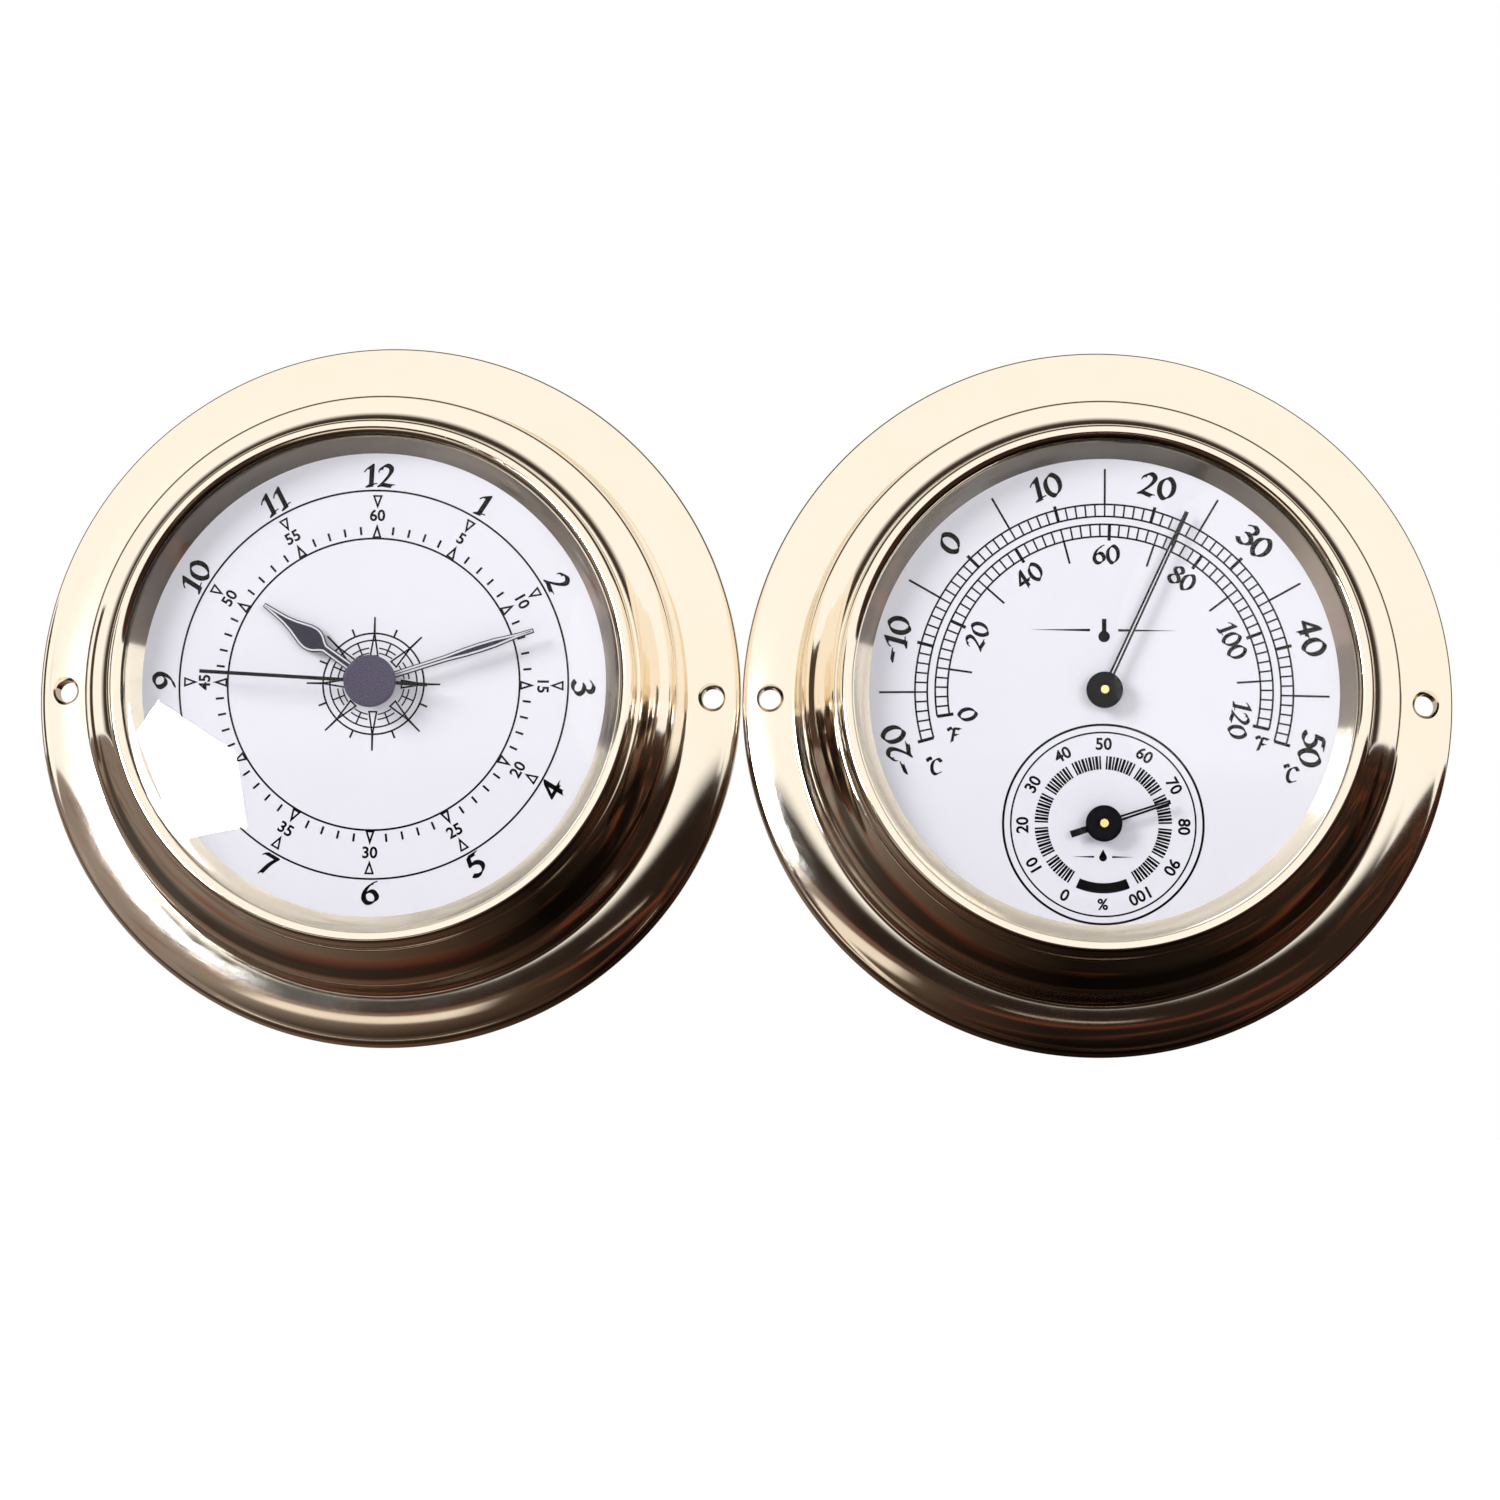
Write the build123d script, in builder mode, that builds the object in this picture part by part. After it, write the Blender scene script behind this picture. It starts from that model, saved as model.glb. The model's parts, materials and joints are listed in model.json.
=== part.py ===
from build123d import *
import math
import os

# A row of two brass ship's instruments on a wall, in millimetres: a quartz clock on the left,
# and a thermometer with a hygrometer, called the weather instrument here, on the right.
# X runs right, Z up and Y into the wall, and the origin is the clock's centre on the wall.
# Radii are from an instrument's axis, and heights are off the wall, towards the viewer.

os.makedirs("parts", exist_ok=True)

# Clearances
seat_gap = 0.05
running_gap = 0.05
loose_gap = 0.3
cut_over = 1.0

# Brass case
flange_radius = 57.5
flange_width = 8.7
edge_height = 2.4
edge_round = 1.4
band_rise = 1.9
band_crown_share = 0.083
drum_foot_round = 0.5
drum_taper = 1.2
drum_height = 13.0
shoulder_inset = 1.6
shoulder_rise = 2.8
shoulder_bow_share = 0.17
cove_width = 3.6
cove_rise = 4.5
cove_bow_share = 0.075
neck_edge = 0.3
neck_ledge = 1.1
case_wall = 1.2
collar_wall = 0.6
collar_rise = 1.9
wall_screw_inset = 4.5
wall_screw_hole_radius = 1.8
instrument_gap = 0.3
quarter_bow_share = (math.sqrt(2) - 1) / 2

band_height = edge_height + band_rise
drum_foot_radius = flange_radius - flange_width
drum_top_radius = drum_foot_radius - drum_taper
shoulder_radius = drum_top_radius - shoulder_inset
shoulder_height = drum_height + shoulder_rise
neck_radius = shoulder_radius - cove_width
neck_height = shoulder_height + cove_rise
collar_radius = neck_radius - neck_ledge
wall_screw_circle_radius = flange_radius - wall_screw_inset
bore_radius = drum_top_radius - case_wall
collar_bore_radius = collar_radius - collar_wall
collar_top = neck_height + collar_rise
weather_x = 2 * flange_radius + instrument_gap

# Bezel
bezel_wall = 0.7
bezel_straight = 2.0
bezel_crest_inset = 1.4
bezel_crest_rise = 0.9
bezel_lip_inset = 1.2
bezel_lip_rise = 0.3
bezel_lip_bow_share = 0.12

bezel_radius = collar_radius + bezel_wall
bezel_crest_radius = bezel_radius - bezel_crest_inset
bezel_lip_radius = bezel_crest_radius - bezel_lip_inset

# Glass, gasket and inner ring
lens_rise = 3.4
lens_thickness = 1.4
lens_rim_thickness = 1.0
gasket_thickness = 0.3
ring_height = 3.3
ring_lip_gap = 0.2
ring_slope = 2.4
ring_land = 0.9

ring_top_radius = bezel_lip_radius - ring_lip_gap
ring_foot_radius = ring_top_radius - ring_slope

# Dial, spacer ring and back cover
dial_drop = 0.3
dial_thickness = 0.6
spacer_wall = 1.4
cover_recess = 0.8
cover_thickness = 1.4
cover_edge_gap = 0.2
cover_screw_inset = 2.8
cover_screw_count = 3
cover_screw_start_angle = 90
cover_post_radius = 3.0
cover_post_drop = 2.0
cover_screw_radius = 1.0
cover_screw_hole_floor = 1.4
cover_screw_end_gap = 0.8
screw_head_radius = 1.8
screw_head_height = 0.7
screw_slot_width = 0.5
screw_slot_depth = 0.35
vent_radius = 1.6
vent_circle_share = 0.5085
vent_count = 12
inner_vent_circle_share = 0.2542
inner_vent_count = 6

dial_height = neck_height - dial_drop
dial_back = dial_height - dial_thickness
ring_top = dial_height + ring_height
lens_rim_low = ring_top + gasket_thickness
lens_rim_top = lens_rim_low + lens_rim_thickness
lens_apex_height = lens_rim_top + lens_rise
bezel_height = lens_rim_top + bezel_crest_rise
bezel_lip_height = lens_rim_top + bezel_lip_rise
lens_radius = collar_bore_radius - loose_gap
dial_radius = collar_bore_radius - 2 * loose_gap
spacer_bore_radius = dial_radius - spacer_wall
cover_front = cover_recess + cover_thickness
cover_post_top = drum_height - cover_post_drop
cover_screw_hole_depth = cover_post_top - cover_front - cover_screw_hole_floor
cover_screw_length = cover_screw_hole_depth - cover_screw_end_gap
cover_screw_circle_radius = bore_radius - cover_screw_inset
vent_circle_radius = vent_circle_share * bore_radius
inner_vent_circle_radius = inner_vent_circle_share * bore_radius

# Clock movement housing
movement_gap = 0.552
movement_corner = 3.5
housing_wall = 1.2
front_wall = 1.0
housing_depth = 14.5
rear_cover_thickness = 1.0
pad_thickness = 0.5
pad_inset = 8.0
pad_corner = 3.0
pad_hole_radius = 6.0
neck_bush_radius = 3.4
neck_bush_rise = 0.4
bay_wall = 1.0
mid_plate_thickness = 1.0
mid_plate_gap = 0.4
pillar_radius = 1.8
pillar_inset = 3.3

housing_front = dial_back - pad_thickness
housing_rim = housing_front - housing_depth
train_top = housing_front - front_wall
rear_face = housing_rim - rear_cover_thickness
corner_reach = spacer_bore_radius - movement_gap - movement_corner
movement_half = corner_reach / math.sqrt(2) + movement_corner
movement_width = 2 * movement_half
pad_half = movement_half - pad_inset
cavity_half = movement_half - housing_wall
cavity_corner = movement_corner - housing_wall

# Going train and motion work: teeth, modules and levels
wheel_thickness = 0.6
level_pitch = 1.3
hour_wheel_play = 0.8
pinion_over = 0.1
rotor_teeth, intermediate_teeth, rotor_module_share = 8, 48, 0.0111941
intermediate_leaves, second_teeth, second_module_share = 8, 40, 0.0149254
second_leaves, third_teeth, third_module_share = 8, 64, 0.0126866
third_leaves, centre_teeth, centre_module_share = 8, 60, 0.0134328
cannon_teeth, minute_teeth, minute_module_share = 12, 36, 0.0186567
minute_leaves, hour_teeth, hour_module_share = 10, 40, 0.0179104
knob_teeth = 18
addendum_share = 0.75
dedendum_share = 1.15
tooth_root_share = 0.58
tooth_pitch_share = 0.38
tooth_tip_share = 0.16

rotor_module = rotor_module_share * cavity_half
second_module = second_module_share * cavity_half
third_module = third_module_share * cavity_half
centre_module = centre_module_share * cavity_half
minute_module = minute_module_share * cavity_half
hour_module = hour_module_share * cavity_half
centre_tip_radius = (centre_teeth / 2 + addendum_share) * centre_module
hour_low = train_top - hour_wheel_play - wheel_thickness
minute_low = hour_low - level_pitch
centre_low = minute_low - level_pitch
third_low = centre_low - level_pitch
second_low = third_low - level_pitch
intermediate_low = second_low - level_pitch
mid_plate_top = intermediate_low - mid_plate_gap
mid_plate_low = mid_plate_top - mid_plate_thickness

# Battery and its contacts; the gear room is as wide as the centre gear, the battery fills the rest
battery_nub_radius = 2.7
battery_nub_length = 1.0
battery_round = 0.6
battery_bay_gap = 0.3
contact_thickness = 0.3
contact_width_share = 1.28
leaf_reach = 2.5
contact_leaf_rise_share = 0.6
contact_leaf_width_share = 0.71

gear_room_low = -centre_tip_radius - running_gap
bay_top = gear_room_low - bay_wall
battery_radius = (bay_top + cavity_half) / 2 - battery_bay_gap
battery_z = bay_top - battery_bay_gap - battery_radius
battery_top_height = train_top - loose_gap
battery_height = battery_top_height - battery_radius
battery_right = cavity_half - contact_thickness - seat_gap - battery_nub_length
battery_left = -cavity_half + contact_thickness + seat_gap + leaf_reach
battery_length = battery_right - battery_left
contact_width = contact_width_share * battery_radius
contact_leaf_rise = contact_leaf_rise_share * battery_radius
contact_leaf_width = contact_leaf_width_share * battery_radius

# Where each arbor of the train stands, as a direction from the arbor that it meshes with
intermediate_direction = 150
rotor_direction = 170
third_direction = 60
minute_direction = 5
knob_direction = 50


def centre_distance(teeth_a, teeth_b, module):
    """Distance between the axes of two meshed gears."""
    return (teeth_a + teeth_b) * module / 2


def stepped_from(start, distance, direction):
    """Point that lies at a distance and a direction in degrees from another point."""
    angle = math.radians(direction)
    return (start[0] + distance * math.cos(angle), start[1] + distance * math.sin(angle))


hub_at = (0, 0)
intermediate_at = stepped_from(
    hub_at, centre_distance(intermediate_leaves, second_teeth, second_module), intermediate_direction
)
rotor_at = stepped_from(
    intermediate_at, centre_distance(rotor_teeth, intermediate_teeth, rotor_module), rotor_direction
)
third_at = stepped_from(hub_at, centre_distance(second_leaves, third_teeth, third_module), third_direction)
minute_at = stepped_from(hub_at, centre_distance(cannon_teeth, minute_teeth, minute_module), minute_direction)
knob_at = stepped_from(minute_at, centre_distance(minute_teeth, knob_teeth, minute_module), knob_direction)

# Arbors
second_arbor_radius = 0.5
cannon_radius = 1.55
hour_pipe_radius = 2.5
pivot_radius = 0.4
pivot_depth = 0.6
arbor_radius = 0.7
minute_stud_radius = 0.6
boss_wall = 0.9
cannon_flange_radius = 2.6
cannon_flange_thickness = 0.3
clutch_washer_radius = 3.0
clutch_washer_thickness = 0.4
knob_shaft_radius = 1.5
knob_head_radius = 4.5
knob_head_height = 1.6
knob_head_gap = 0.3
knob_grip_count = 18
knob_grip_radius = 0.35

# Step motor and circuit
magnet_radius = 2.2
magnet_low_over = 0.9
magnet_height = 2.2
rear_bearing_height = 0.7
stator_thickness = 0.8
stator_gap = 1.6
stator_left_share = -0.9142
stator_right_share = -0.0187
stator_low_share = 0.0597
stator_top_share = 0.8209
core_width = 3.0
stator_leg_width = 3.4
stator_jaw_share = 0.4104
arbor_room = 0.8
bobbin_wall = 0.6
bobbin_flange = 1.0
bobbin_flange_rise = 0.9
bobbin_side_gap = 1.1
board_width_share = 0.4851
board_length_share = 0.4104
board_left_share = 0.1119
board_low_share = 0.4851
chip_radius = 2.4
chip_height = 0.8
crystal_radius = 0.8
crystal_length = 5.6
stud_radius = 0.5
post_radius = 1.1

stator_left = stator_left_share * cavity_half
stator_right = stator_right_share * cavity_half
stator_low = stator_low_share * cavity_half
stator_top = stator_top_share * cavity_half
stator_jaw_top = stator_jaw_share * cavity_half
bobbin_length = stator_right - stator_left - 2 * (stator_leg_width + bobbin_side_gap)
board_width = board_width_share * cavity_half
board_length = board_length_share * cavity_half
board_left = board_left_share * cavity_half
board_low = board_low_share * cavity_half
stator_height = housing_rim + stator_gap
motor_centre_height = stator_height + stator_thickness / 2

# Hands and pointers
hand_thickness = 0.4
hour_hand_share = 0.5788
hour_neck_width = 1.4
hour_leaf_width = 4.1
hour_leaf_start_share = 0.46
hour_leaf_widest_share = 0.57
minute_hand_share = 0.7283
minute_neck_width = 1.15
minute_leaf_width = 1.55
minute_leaf_start_share = 0.48
minute_leaf_widest_share = 0.71
hand_tip_width = 0.7
leaf_fullness_share = 0.75
hand_boss_radius = 3.4
second_hand_share = 0.7337
second_tail_share = 0.2446
second_hand_width = 0.55
second_hub_radius = 4.1
second_hub_height = 0.7
second_hub_round = 0.3
hand_pitch = 1.2
hour_hand_rise = 1.1
hour_hand_turn = 305.1
minute_hand_turn = 71.7
second_hand_turn = 272.9
pointer_thickness = 0.3
pointer_rise = 1.4
pointer_hub_radius = 2.85
pointer_hub_height = 0.7
pointer_hub_round = 0.25
pointer_pin_radius = 0.65
pointer_pin_rise = 0.5
pointer_root_width = 0.9
pointer_tip_width = 0.45
tail_end_width = 1.1

hour_hand_length = hour_hand_share * ring_foot_radius
minute_hand_length = minute_hand_share * ring_foot_radius
second_hand_length = second_hand_share * ring_foot_radius
second_hand_tail = second_tail_share * ring_foot_radius
hour_hand_low = dial_height + hour_hand_rise
minute_hand_low = hour_hand_low + hand_pitch
second_hand_low = minute_hand_low + hand_pitch
pointer_low = dial_height + pointer_rise
pointer_hub_low = pointer_low + pointer_thickness

# Thermometer and hygrometer works
humidity_drop_share = 0.5679
bracket_thickness = 0.6
bracket_depth = 10.4
strip_thickness = 0.3
strip_width = 3.0
coil_lift = 2.4
coil_start_radius = 1.9
coil_collet_gap = 0.1
coil_collet_over = 0.2
coil_stud_radius = 0.7
bush_barrel_radius = 1.5
bush_flange_radius = 2.2
bush_flange_height = 0.4

bracket_rear_height = dial_back - bracket_depth
coil_low = bracket_rear_height + bracket_thickness + coil_lift
humidity_z = -humidity_drop_share * ring_foot_radius
works = {
    "thermometer": dict(z=0, side_room=1.9, width=5.0, half_turns=11, coil_step_share=0.02174,
                        length_share=0.8424, tail_share=0, turn=24.3),
    "humidity": dict(z=humidity_z, side_room=1.6, width=4.0, half_turns=7, coil_step_share=0.01902,
                     length_share=0.2962, tail_share=0.1467, turn=71.2),
}


def front(height, at=(0, 0), x=0):
    """Plane at a height off the wall that faces the viewer, centred on a point of the dial."""
    return Plane(origin=(x + at[0], -height, at[1]), x_dir=(1, 0, 0), z_dir=(0, -1, 0))


def section(at=(0, 0), x=0):
    """Plane through an axis square to the wall: radius along its x, height off the wall along its y."""
    return Plane(origin=(x + at[0], 0, at[1]), x_dir=(1, 0, 0), z_dir=(0, 0, -1))


def spin_axis(at=(0, 0), x=0):
    """Axis square to the wall through a point of the dial."""
    return Axis((x + at[0], 0, at[1]), (0, -1, 0))


def bowed(start, end, bow_share):
    """Middle point of an arc that bows to the right of its way by a share of its chord."""
    along = Vector(*end) - Vector(*start)
    middle = (Vector(*start) + Vector(*end)) / 2
    return middle + Vector(along.Y, -along.X) * bow_share


def dome_height(radius, apex, edge_radius, edge):
    """Height at a radius of a shallow dome that falls from its apex to its edge."""
    fall = apex - edge
    sphere = (edge_radius**2 + fall**2) / (2 * fall)
    return apex - sphere + math.sqrt(sphere**2 - radius**2)


def add_disc(radius, low, high, at=(0, 0), x=0, mode=Mode.ADD):
    """Round step of the part being built, from one height to another."""
    with BuildSketch(front(low, at, x)) as disc:
        Circle(radius)
    extrude(disc.sketch, amount=high - low, mode=mode)


def add_square(half, corner, low, high, mode=Mode.ADD):
    """Square step with round corners, centred on the clock's axis."""
    with BuildSketch(front(low)) as square:
        RectangleRounded(2 * half, 2 * half, corner)
    extrude(square.sketch, amount=high - low, mode=mode)


def add_block(left, right, bottom, top, low, high, mode=Mode.ADD):
    """Rectangular block between two sides, two levels on the dial and two heights."""
    with BuildSketch(front(low, ((left + right) / 2, (bottom + top) / 2))) as block:
        Rectangle(right - left, top - bottom)
    extrude(block.sketch, amount=high - low, mode=mode)


def meshed_phase(driver_teeth, driver_phase, direction, driven_teeth):
    """Phase that puts a driven gear's gap where the driver's tooth comes, in degrees."""
    driver_share = (direction - driver_phase) * driver_teeth / 360
    return direction + 180 - (0.5 - driver_share) * 360 / driven_teeth


def add_gear(teeth, module, phase, low, high, at):
    """Thin-toothed spur gear added to the part being built."""
    pitch_radius = teeth * module / 2
    root_radius = pitch_radius - dedendum_share * module
    tip_radius = pitch_radius + addendum_share * module
    circular_pitch = math.pi * module
    corners = (
        (root_radius, -tooth_root_share),
        (pitch_radius, -tooth_pitch_share),
        (tip_radius, -tooth_tip_share),
        (tip_radius, tooth_tip_share),
        (pitch_radius, tooth_pitch_share),
        (root_radius, tooth_root_share),
    )
    outline = []
    for tooth in range(teeth):
        for radius, width_share in corners:
            angle = math.radians(phase + tooth * 360 / teeth) + width_share * circular_pitch / (2 * radius)
            outline.append((radius * math.cos(angle), radius * math.sin(angle)))
    with BuildSketch(front(low, at)) as gear:
        Polygon(*outline, align=None)
    extrude(gear.sketch, amount=high - low)


def make_case(side, x):
    """Turned brass case: flange, drum, rounded shoulder and the collar that carries the bezel."""
    back_inner = (bore_radius, 0)
    back_outer = (flange_radius, 0)
    edge_top = (flange_radius, edge_height)
    band_outer = (flange_radius - edge_round, edge_height + edge_round)
    band_inner = (drum_foot_radius + drum_foot_round, band_height)
    drum_foot = (drum_foot_radius, band_height + drum_foot_round)
    drum_top = (drum_top_radius, drum_height)
    cove_outer = (shoulder_radius, shoulder_height)
    cove_inner = (neck_radius, neck_height - neck_edge)
    with BuildPart() as case:
        with BuildSketch(section(x=x)):
            with BuildLine():
                Polyline(back_inner, back_outer, edge_top)
                ThreePointArc(edge_top, bowed(edge_top, band_outer, quarter_bow_share), band_outer)
                ThreePointArc(band_outer, bowed(band_outer, band_inner, band_crown_share), band_inner)
                ThreePointArc(band_inner, bowed(band_inner, drum_foot, -quarter_bow_share), drum_foot)
                Line(drum_foot, drum_top)
                ThreePointArc(drum_top, bowed(drum_top, cove_outer, shoulder_bow_share), cove_outer)
                ThreePointArc(cove_outer, bowed(cove_outer, cove_inner, -cove_bow_share), cove_inner)
                Polyline(
                    cove_inner,
                    (neck_radius, neck_height),
                    (collar_radius, neck_height),
                    (collar_radius, collar_top),
                    (collar_bore_radius, collar_top),
                    (collar_bore_radius, neck_height - case_wall),
                    (shoulder_radius - case_wall, shoulder_height - case_wall),
                    (bore_radius, drum_height - case_wall),
                    back_inner,
                )
            make_face()
        revolve(axis=spin_axis(x=x))
        with BuildSketch(front(0, x=x)):
            with PolarLocations(wall_screw_circle_radius, 2):
                Circle(wall_screw_hole_radius)
        extrude(amount=neck_height, mode=Mode.SUBTRACT)
        with BuildSketch(front(cover_front, x=x)):
            with PolarLocations(cover_screw_circle_radius, cover_screw_count, cover_screw_start_angle):
                Circle(cover_post_radius)
        extrude(amount=cover_post_top - cover_front)
        with BuildSketch(front(cover_front, x=x)):
            with PolarLocations(cover_screw_circle_radius, cover_screw_count, cover_screw_start_angle):
                Circle(cover_screw_radius + running_gap)
        extrude(amount=cover_screw_hole_depth, mode=Mode.SUBTRACT)
    case.part.label = f"{side}_case"
    export_step(case.part, f"parts/{side}_case.step")


def make_bezel(side, x):
    """Polished brass bezel: a rounded bead on the case's collar, with the lip that holds the glass."""
    skirt_bore = collar_radius + seat_gap
    bead_low = neck_height + bezel_straight
    crest = (bezel_crest_radius, bezel_height)
    lip = (bezel_lip_radius, bezel_lip_height)
    with BuildPart() as bezel:
        with BuildSketch(section(x=x)):
            with BuildLine():
                Polyline((skirt_bore, neck_height), (bezel_radius, neck_height), (bezel_radius, bead_low))
                EllipticalCenterArc(
                    (bezel_crest_radius, bead_low),
                    bezel_radius - bezel_crest_radius,
                    bezel_height - bead_low,
                    arc_size=90,
                )
                ThreePointArc(crest, bowed(crest, lip, bezel_lip_bow_share), lip)
                Polyline(
                    lip,
                    (bezel_lip_radius, lens_rim_top),
                    (lens_radius + seat_gap, lens_rim_top),
                    (lens_radius + seat_gap, collar_top + seat_gap),
                    (skirt_bore, collar_top + seat_gap),
                    (skirt_bore, neck_height),
                )
            make_face()
        revolve(axis=spin_axis(x=x))
    bezel.part.label = f"{side}_bezel"
    export_step(bezel.part, f"parts/{side}_bezel.step")


def make_lens(side, x):
    """Domed glass with a flat rim under the bezel's lip."""
    outer_edge = bezel_lip_radius - loose_gap
    inner_edge = outer_edge - loose_gap
    inner_apex = lens_apex_height - lens_thickness
    outer_middle = (outer_edge / 2, dome_height(outer_edge / 2, lens_apex_height, outer_edge, lens_rim_top))
    inner_middle = (inner_edge / 2, dome_height(inner_edge / 2, inner_apex, inner_edge, lens_rim_low))
    with BuildPart() as lens:
        with BuildSketch(section(x=x)):
            with BuildLine():
                ThreePointArc((0, lens_apex_height), outer_middle, (outer_edge, lens_rim_top))
                Polyline(
                    (outer_edge, lens_rim_top),
                    (lens_radius, lens_rim_top),
                    (lens_radius, lens_rim_low),
                    (inner_edge, lens_rim_low),
                )
                ThreePointArc((inner_edge, lens_rim_low), inner_middle, (0, inner_apex))
                Line((0, inner_apex), (0, lens_apex_height))
            make_face()
        revolve(axis=spin_axis(x=x))
    lens.part.label = f"{side}_lens"
    export_step(lens.part, f"parts/{side}_lens.step")


def make_gasket(side, x):
    """Thin black ring that beds the glass on the inner ring."""
    with BuildPart() as gasket:
        add_disc(lens_radius, ring_top, lens_rim_low, x=x)
        add_disc(bezel_lip_radius, ring_top, lens_rim_low, x=x, mode=Mode.SUBTRACT)
    gasket.part.label = f"{side}_lens_gasket"
    export_step(gasket.part, f"parts/{side}_lens_gasket.step")


def make_inner_ring(side, x):
    """Bright sloping ring between the glass and the dial."""
    with BuildPart() as ring:
        with BuildSketch(section(x=x)):
            Polygon(
                (ring_foot_radius, dial_height),
                (dial_radius, dial_height),
                (dial_radius, ring_top),
                (ring_top_radius, ring_top),
                (ring_top_radius, ring_top - ring_land),
                align=None,
            )
        revolve(axis=spin_axis(x=x))
    ring.part.label = f"{side}_inner_ring"
    export_step(ring.part, f"parts/{side}_inner_ring.step")


def make_dial(side, x, holes):
    """Printed dial plate, pierced for the arbors: holes lists a place and a radius for each."""
    with BuildPart() as dial:
        add_disc(dial_radius, dial_back, dial_height, x=x)
        for at, radius in holes:
            add_disc(radius, dial_back, dial_height, at, x, Mode.SUBTRACT)
    dial.part.label = f"{side}_dial"
    export_step(dial.part, f"parts/{side}_dial.step")


def make_spacer_ring(side, x):
    """Moulded tube that presses the dial forward when the back cover is screwed on."""
    with BuildPart() as spacer:
        add_disc(dial_radius, cover_front, dial_back, x=x)
        add_disc(spacer_bore_radius, cover_front, dial_back, x=x, mode=Mode.SUBTRACT)
    spacer.part.label = f"{side}_spacer_ring"
    export_step(spacer.part, f"parts/{side}_spacer_ring.step")


def add_cover_disc(x):
    """Back cover's disc with its three sunk screw holes, added to the part being built."""
    head_seat = cover_recess + screw_head_height + running_gap
    add_disc(bore_radius - cover_edge_gap, cover_recess, cover_front, x=x)
    for radius, depth in ((cover_screw_radius, cover_thickness), (screw_head_radius, head_seat - cover_recess)):
        with BuildSketch(front(cover_recess, x=x)) as holes:
            with PolarLocations(cover_screw_circle_radius, cover_screw_count, cover_screw_start_angle):
                Circle(radius + running_gap)
        extrude(holes.sketch, amount=depth, mode=Mode.SUBTRACT)


def make_cover_screws(side, x):
    """Three slotted screws that hold the back cover to the case's posts."""
    head_low = cover_recess + running_gap
    head_top = head_low + screw_head_height
    with BuildPart() as screws:
        with BuildSketch(front(head_low, x=x)):
            with PolarLocations(cover_screw_circle_radius, cover_screw_count, cover_screw_start_angle):
                Circle(screw_head_radius)
        extrude(amount=screw_head_height)
        with BuildSketch(front(head_top, x=x)):
            with PolarLocations(cover_screw_circle_radius, cover_screw_count, cover_screw_start_angle):
                Circle(cover_screw_radius)
        extrude(amount=cover_screw_length)
        with BuildSketch(front(head_low, x=x)):
            with PolarLocations(cover_screw_circle_radius, cover_screw_count, cover_screw_start_angle):
                Rectangle(2 * screw_head_radius + cut_over, screw_slot_width)
        extrude(amount=screw_slot_depth, mode=Mode.SUBTRACT)
    screws.part.label = f"{side}_cover_screws"
    export_step(screws.part, f"parts/{side}_cover_screws.step")


clock_holes = [(hub_at, neck_bush_radius + running_gap)]
weather_holes = [((0, work["z"]), bush_barrel_radius + running_gap) for work in works.values()]
for side, x, holes in (("clock", 0, clock_holes), ("weather", weather_x, weather_holes)):
    make_case(side, x)
    make_bezel(side, x)
    make_lens(side, x)
    make_gasket(side, x)
    make_inner_ring(side, x)
    make_dial(side, x, holes)
    make_spacer_ring(side, x)
    make_cover_screws(side, x)

# Clock back cover: black plate with a window to the battery and the setting knob
window_gap = 2 * loose_gap
with BuildPart() as clock_cover:
    add_cover_disc(0)
    add_square(
        movement_half + window_gap, movement_corner + window_gap, cover_recess, cover_front, Mode.SUBTRACT
    )
clock_cover.part.label = "clock_back_cover"
export_step(clock_cover.part, "parts/clock_back_cover.step")

# Weather back cover: the same plate with two rings of vents, so the room's air gets in
with BuildPart() as weather_cover:
    add_cover_disc(weather_x)
    with BuildSketch(front(cover_recess, x=weather_x)):
        with PolarLocations(vent_circle_radius, vent_count):
            Circle(vent_radius)
        with PolarLocations(inner_vent_circle_radius, inner_vent_count):
            Circle(vent_radius)
    extrude(amount=cover_thickness, mode=Mode.SUBTRACT)
weather_cover.part.label = "weather_back_cover"
export_step(weather_cover.part, "parts/weather_back_cover.step")

# Movement front housing: moulded box, open behind, with the battery bay along its bottom
pillar_top = cavity_half - pillar_inset
pillar_low = gear_room_low + pillar_radius
pillars = [(sign * pillar_top, level) for sign in (-1, 1) for level in (pillar_low, pillar_top)]
third_boss_low = train_top - pivot_depth - seat_gap
knob_boss_low = minute_low + wheel_thickness + loose_gap
with BuildPart() as housing:
    add_square(movement_half, movement_corner, housing_rim, housing_front)
    with BuildSketch(front(housing_rim)) as rooms:
        RectangleRounded(2 * cavity_half, 2 * cavity_half, cavity_corner)
        with Locations((0, (bay_top + gear_room_low) / 2)):
            Rectangle(movement_width, bay_wall, mode=Mode.SUBTRACT)
    extrude(amount=train_top - housing_rim, mode=Mode.SUBTRACT)
    add_disc(neck_bush_radius, housing_front, dial_height + neck_bush_rise)
    add_disc(hour_pipe_radius + running_gap, train_top, dial_height + neck_bush_rise, mode=Mode.SUBTRACT)
    for at in pillars:
        add_disc(pillar_radius, mid_plate_top, train_top, at)
    add_disc(minute_stud_radius, minute_low - loose_gap, train_top, minute_at)
    add_disc(pivot_radius + boss_wall, third_boss_low, train_top, third_at)
    add_disc(pivot_radius + running_gap, third_boss_low, train_top, third_at, mode=Mode.SUBTRACT)
    add_disc(pivot_radius + boss_wall, knob_boss_low, train_top, knob_at)
    add_disc(pivot_radius + running_gap, knob_boss_low, train_top, knob_at, mode=Mode.SUBTRACT)
housing.part.label = "movement_front_housing"
export_step(housing.part, "parts/movement_front_housing.step")

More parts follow.
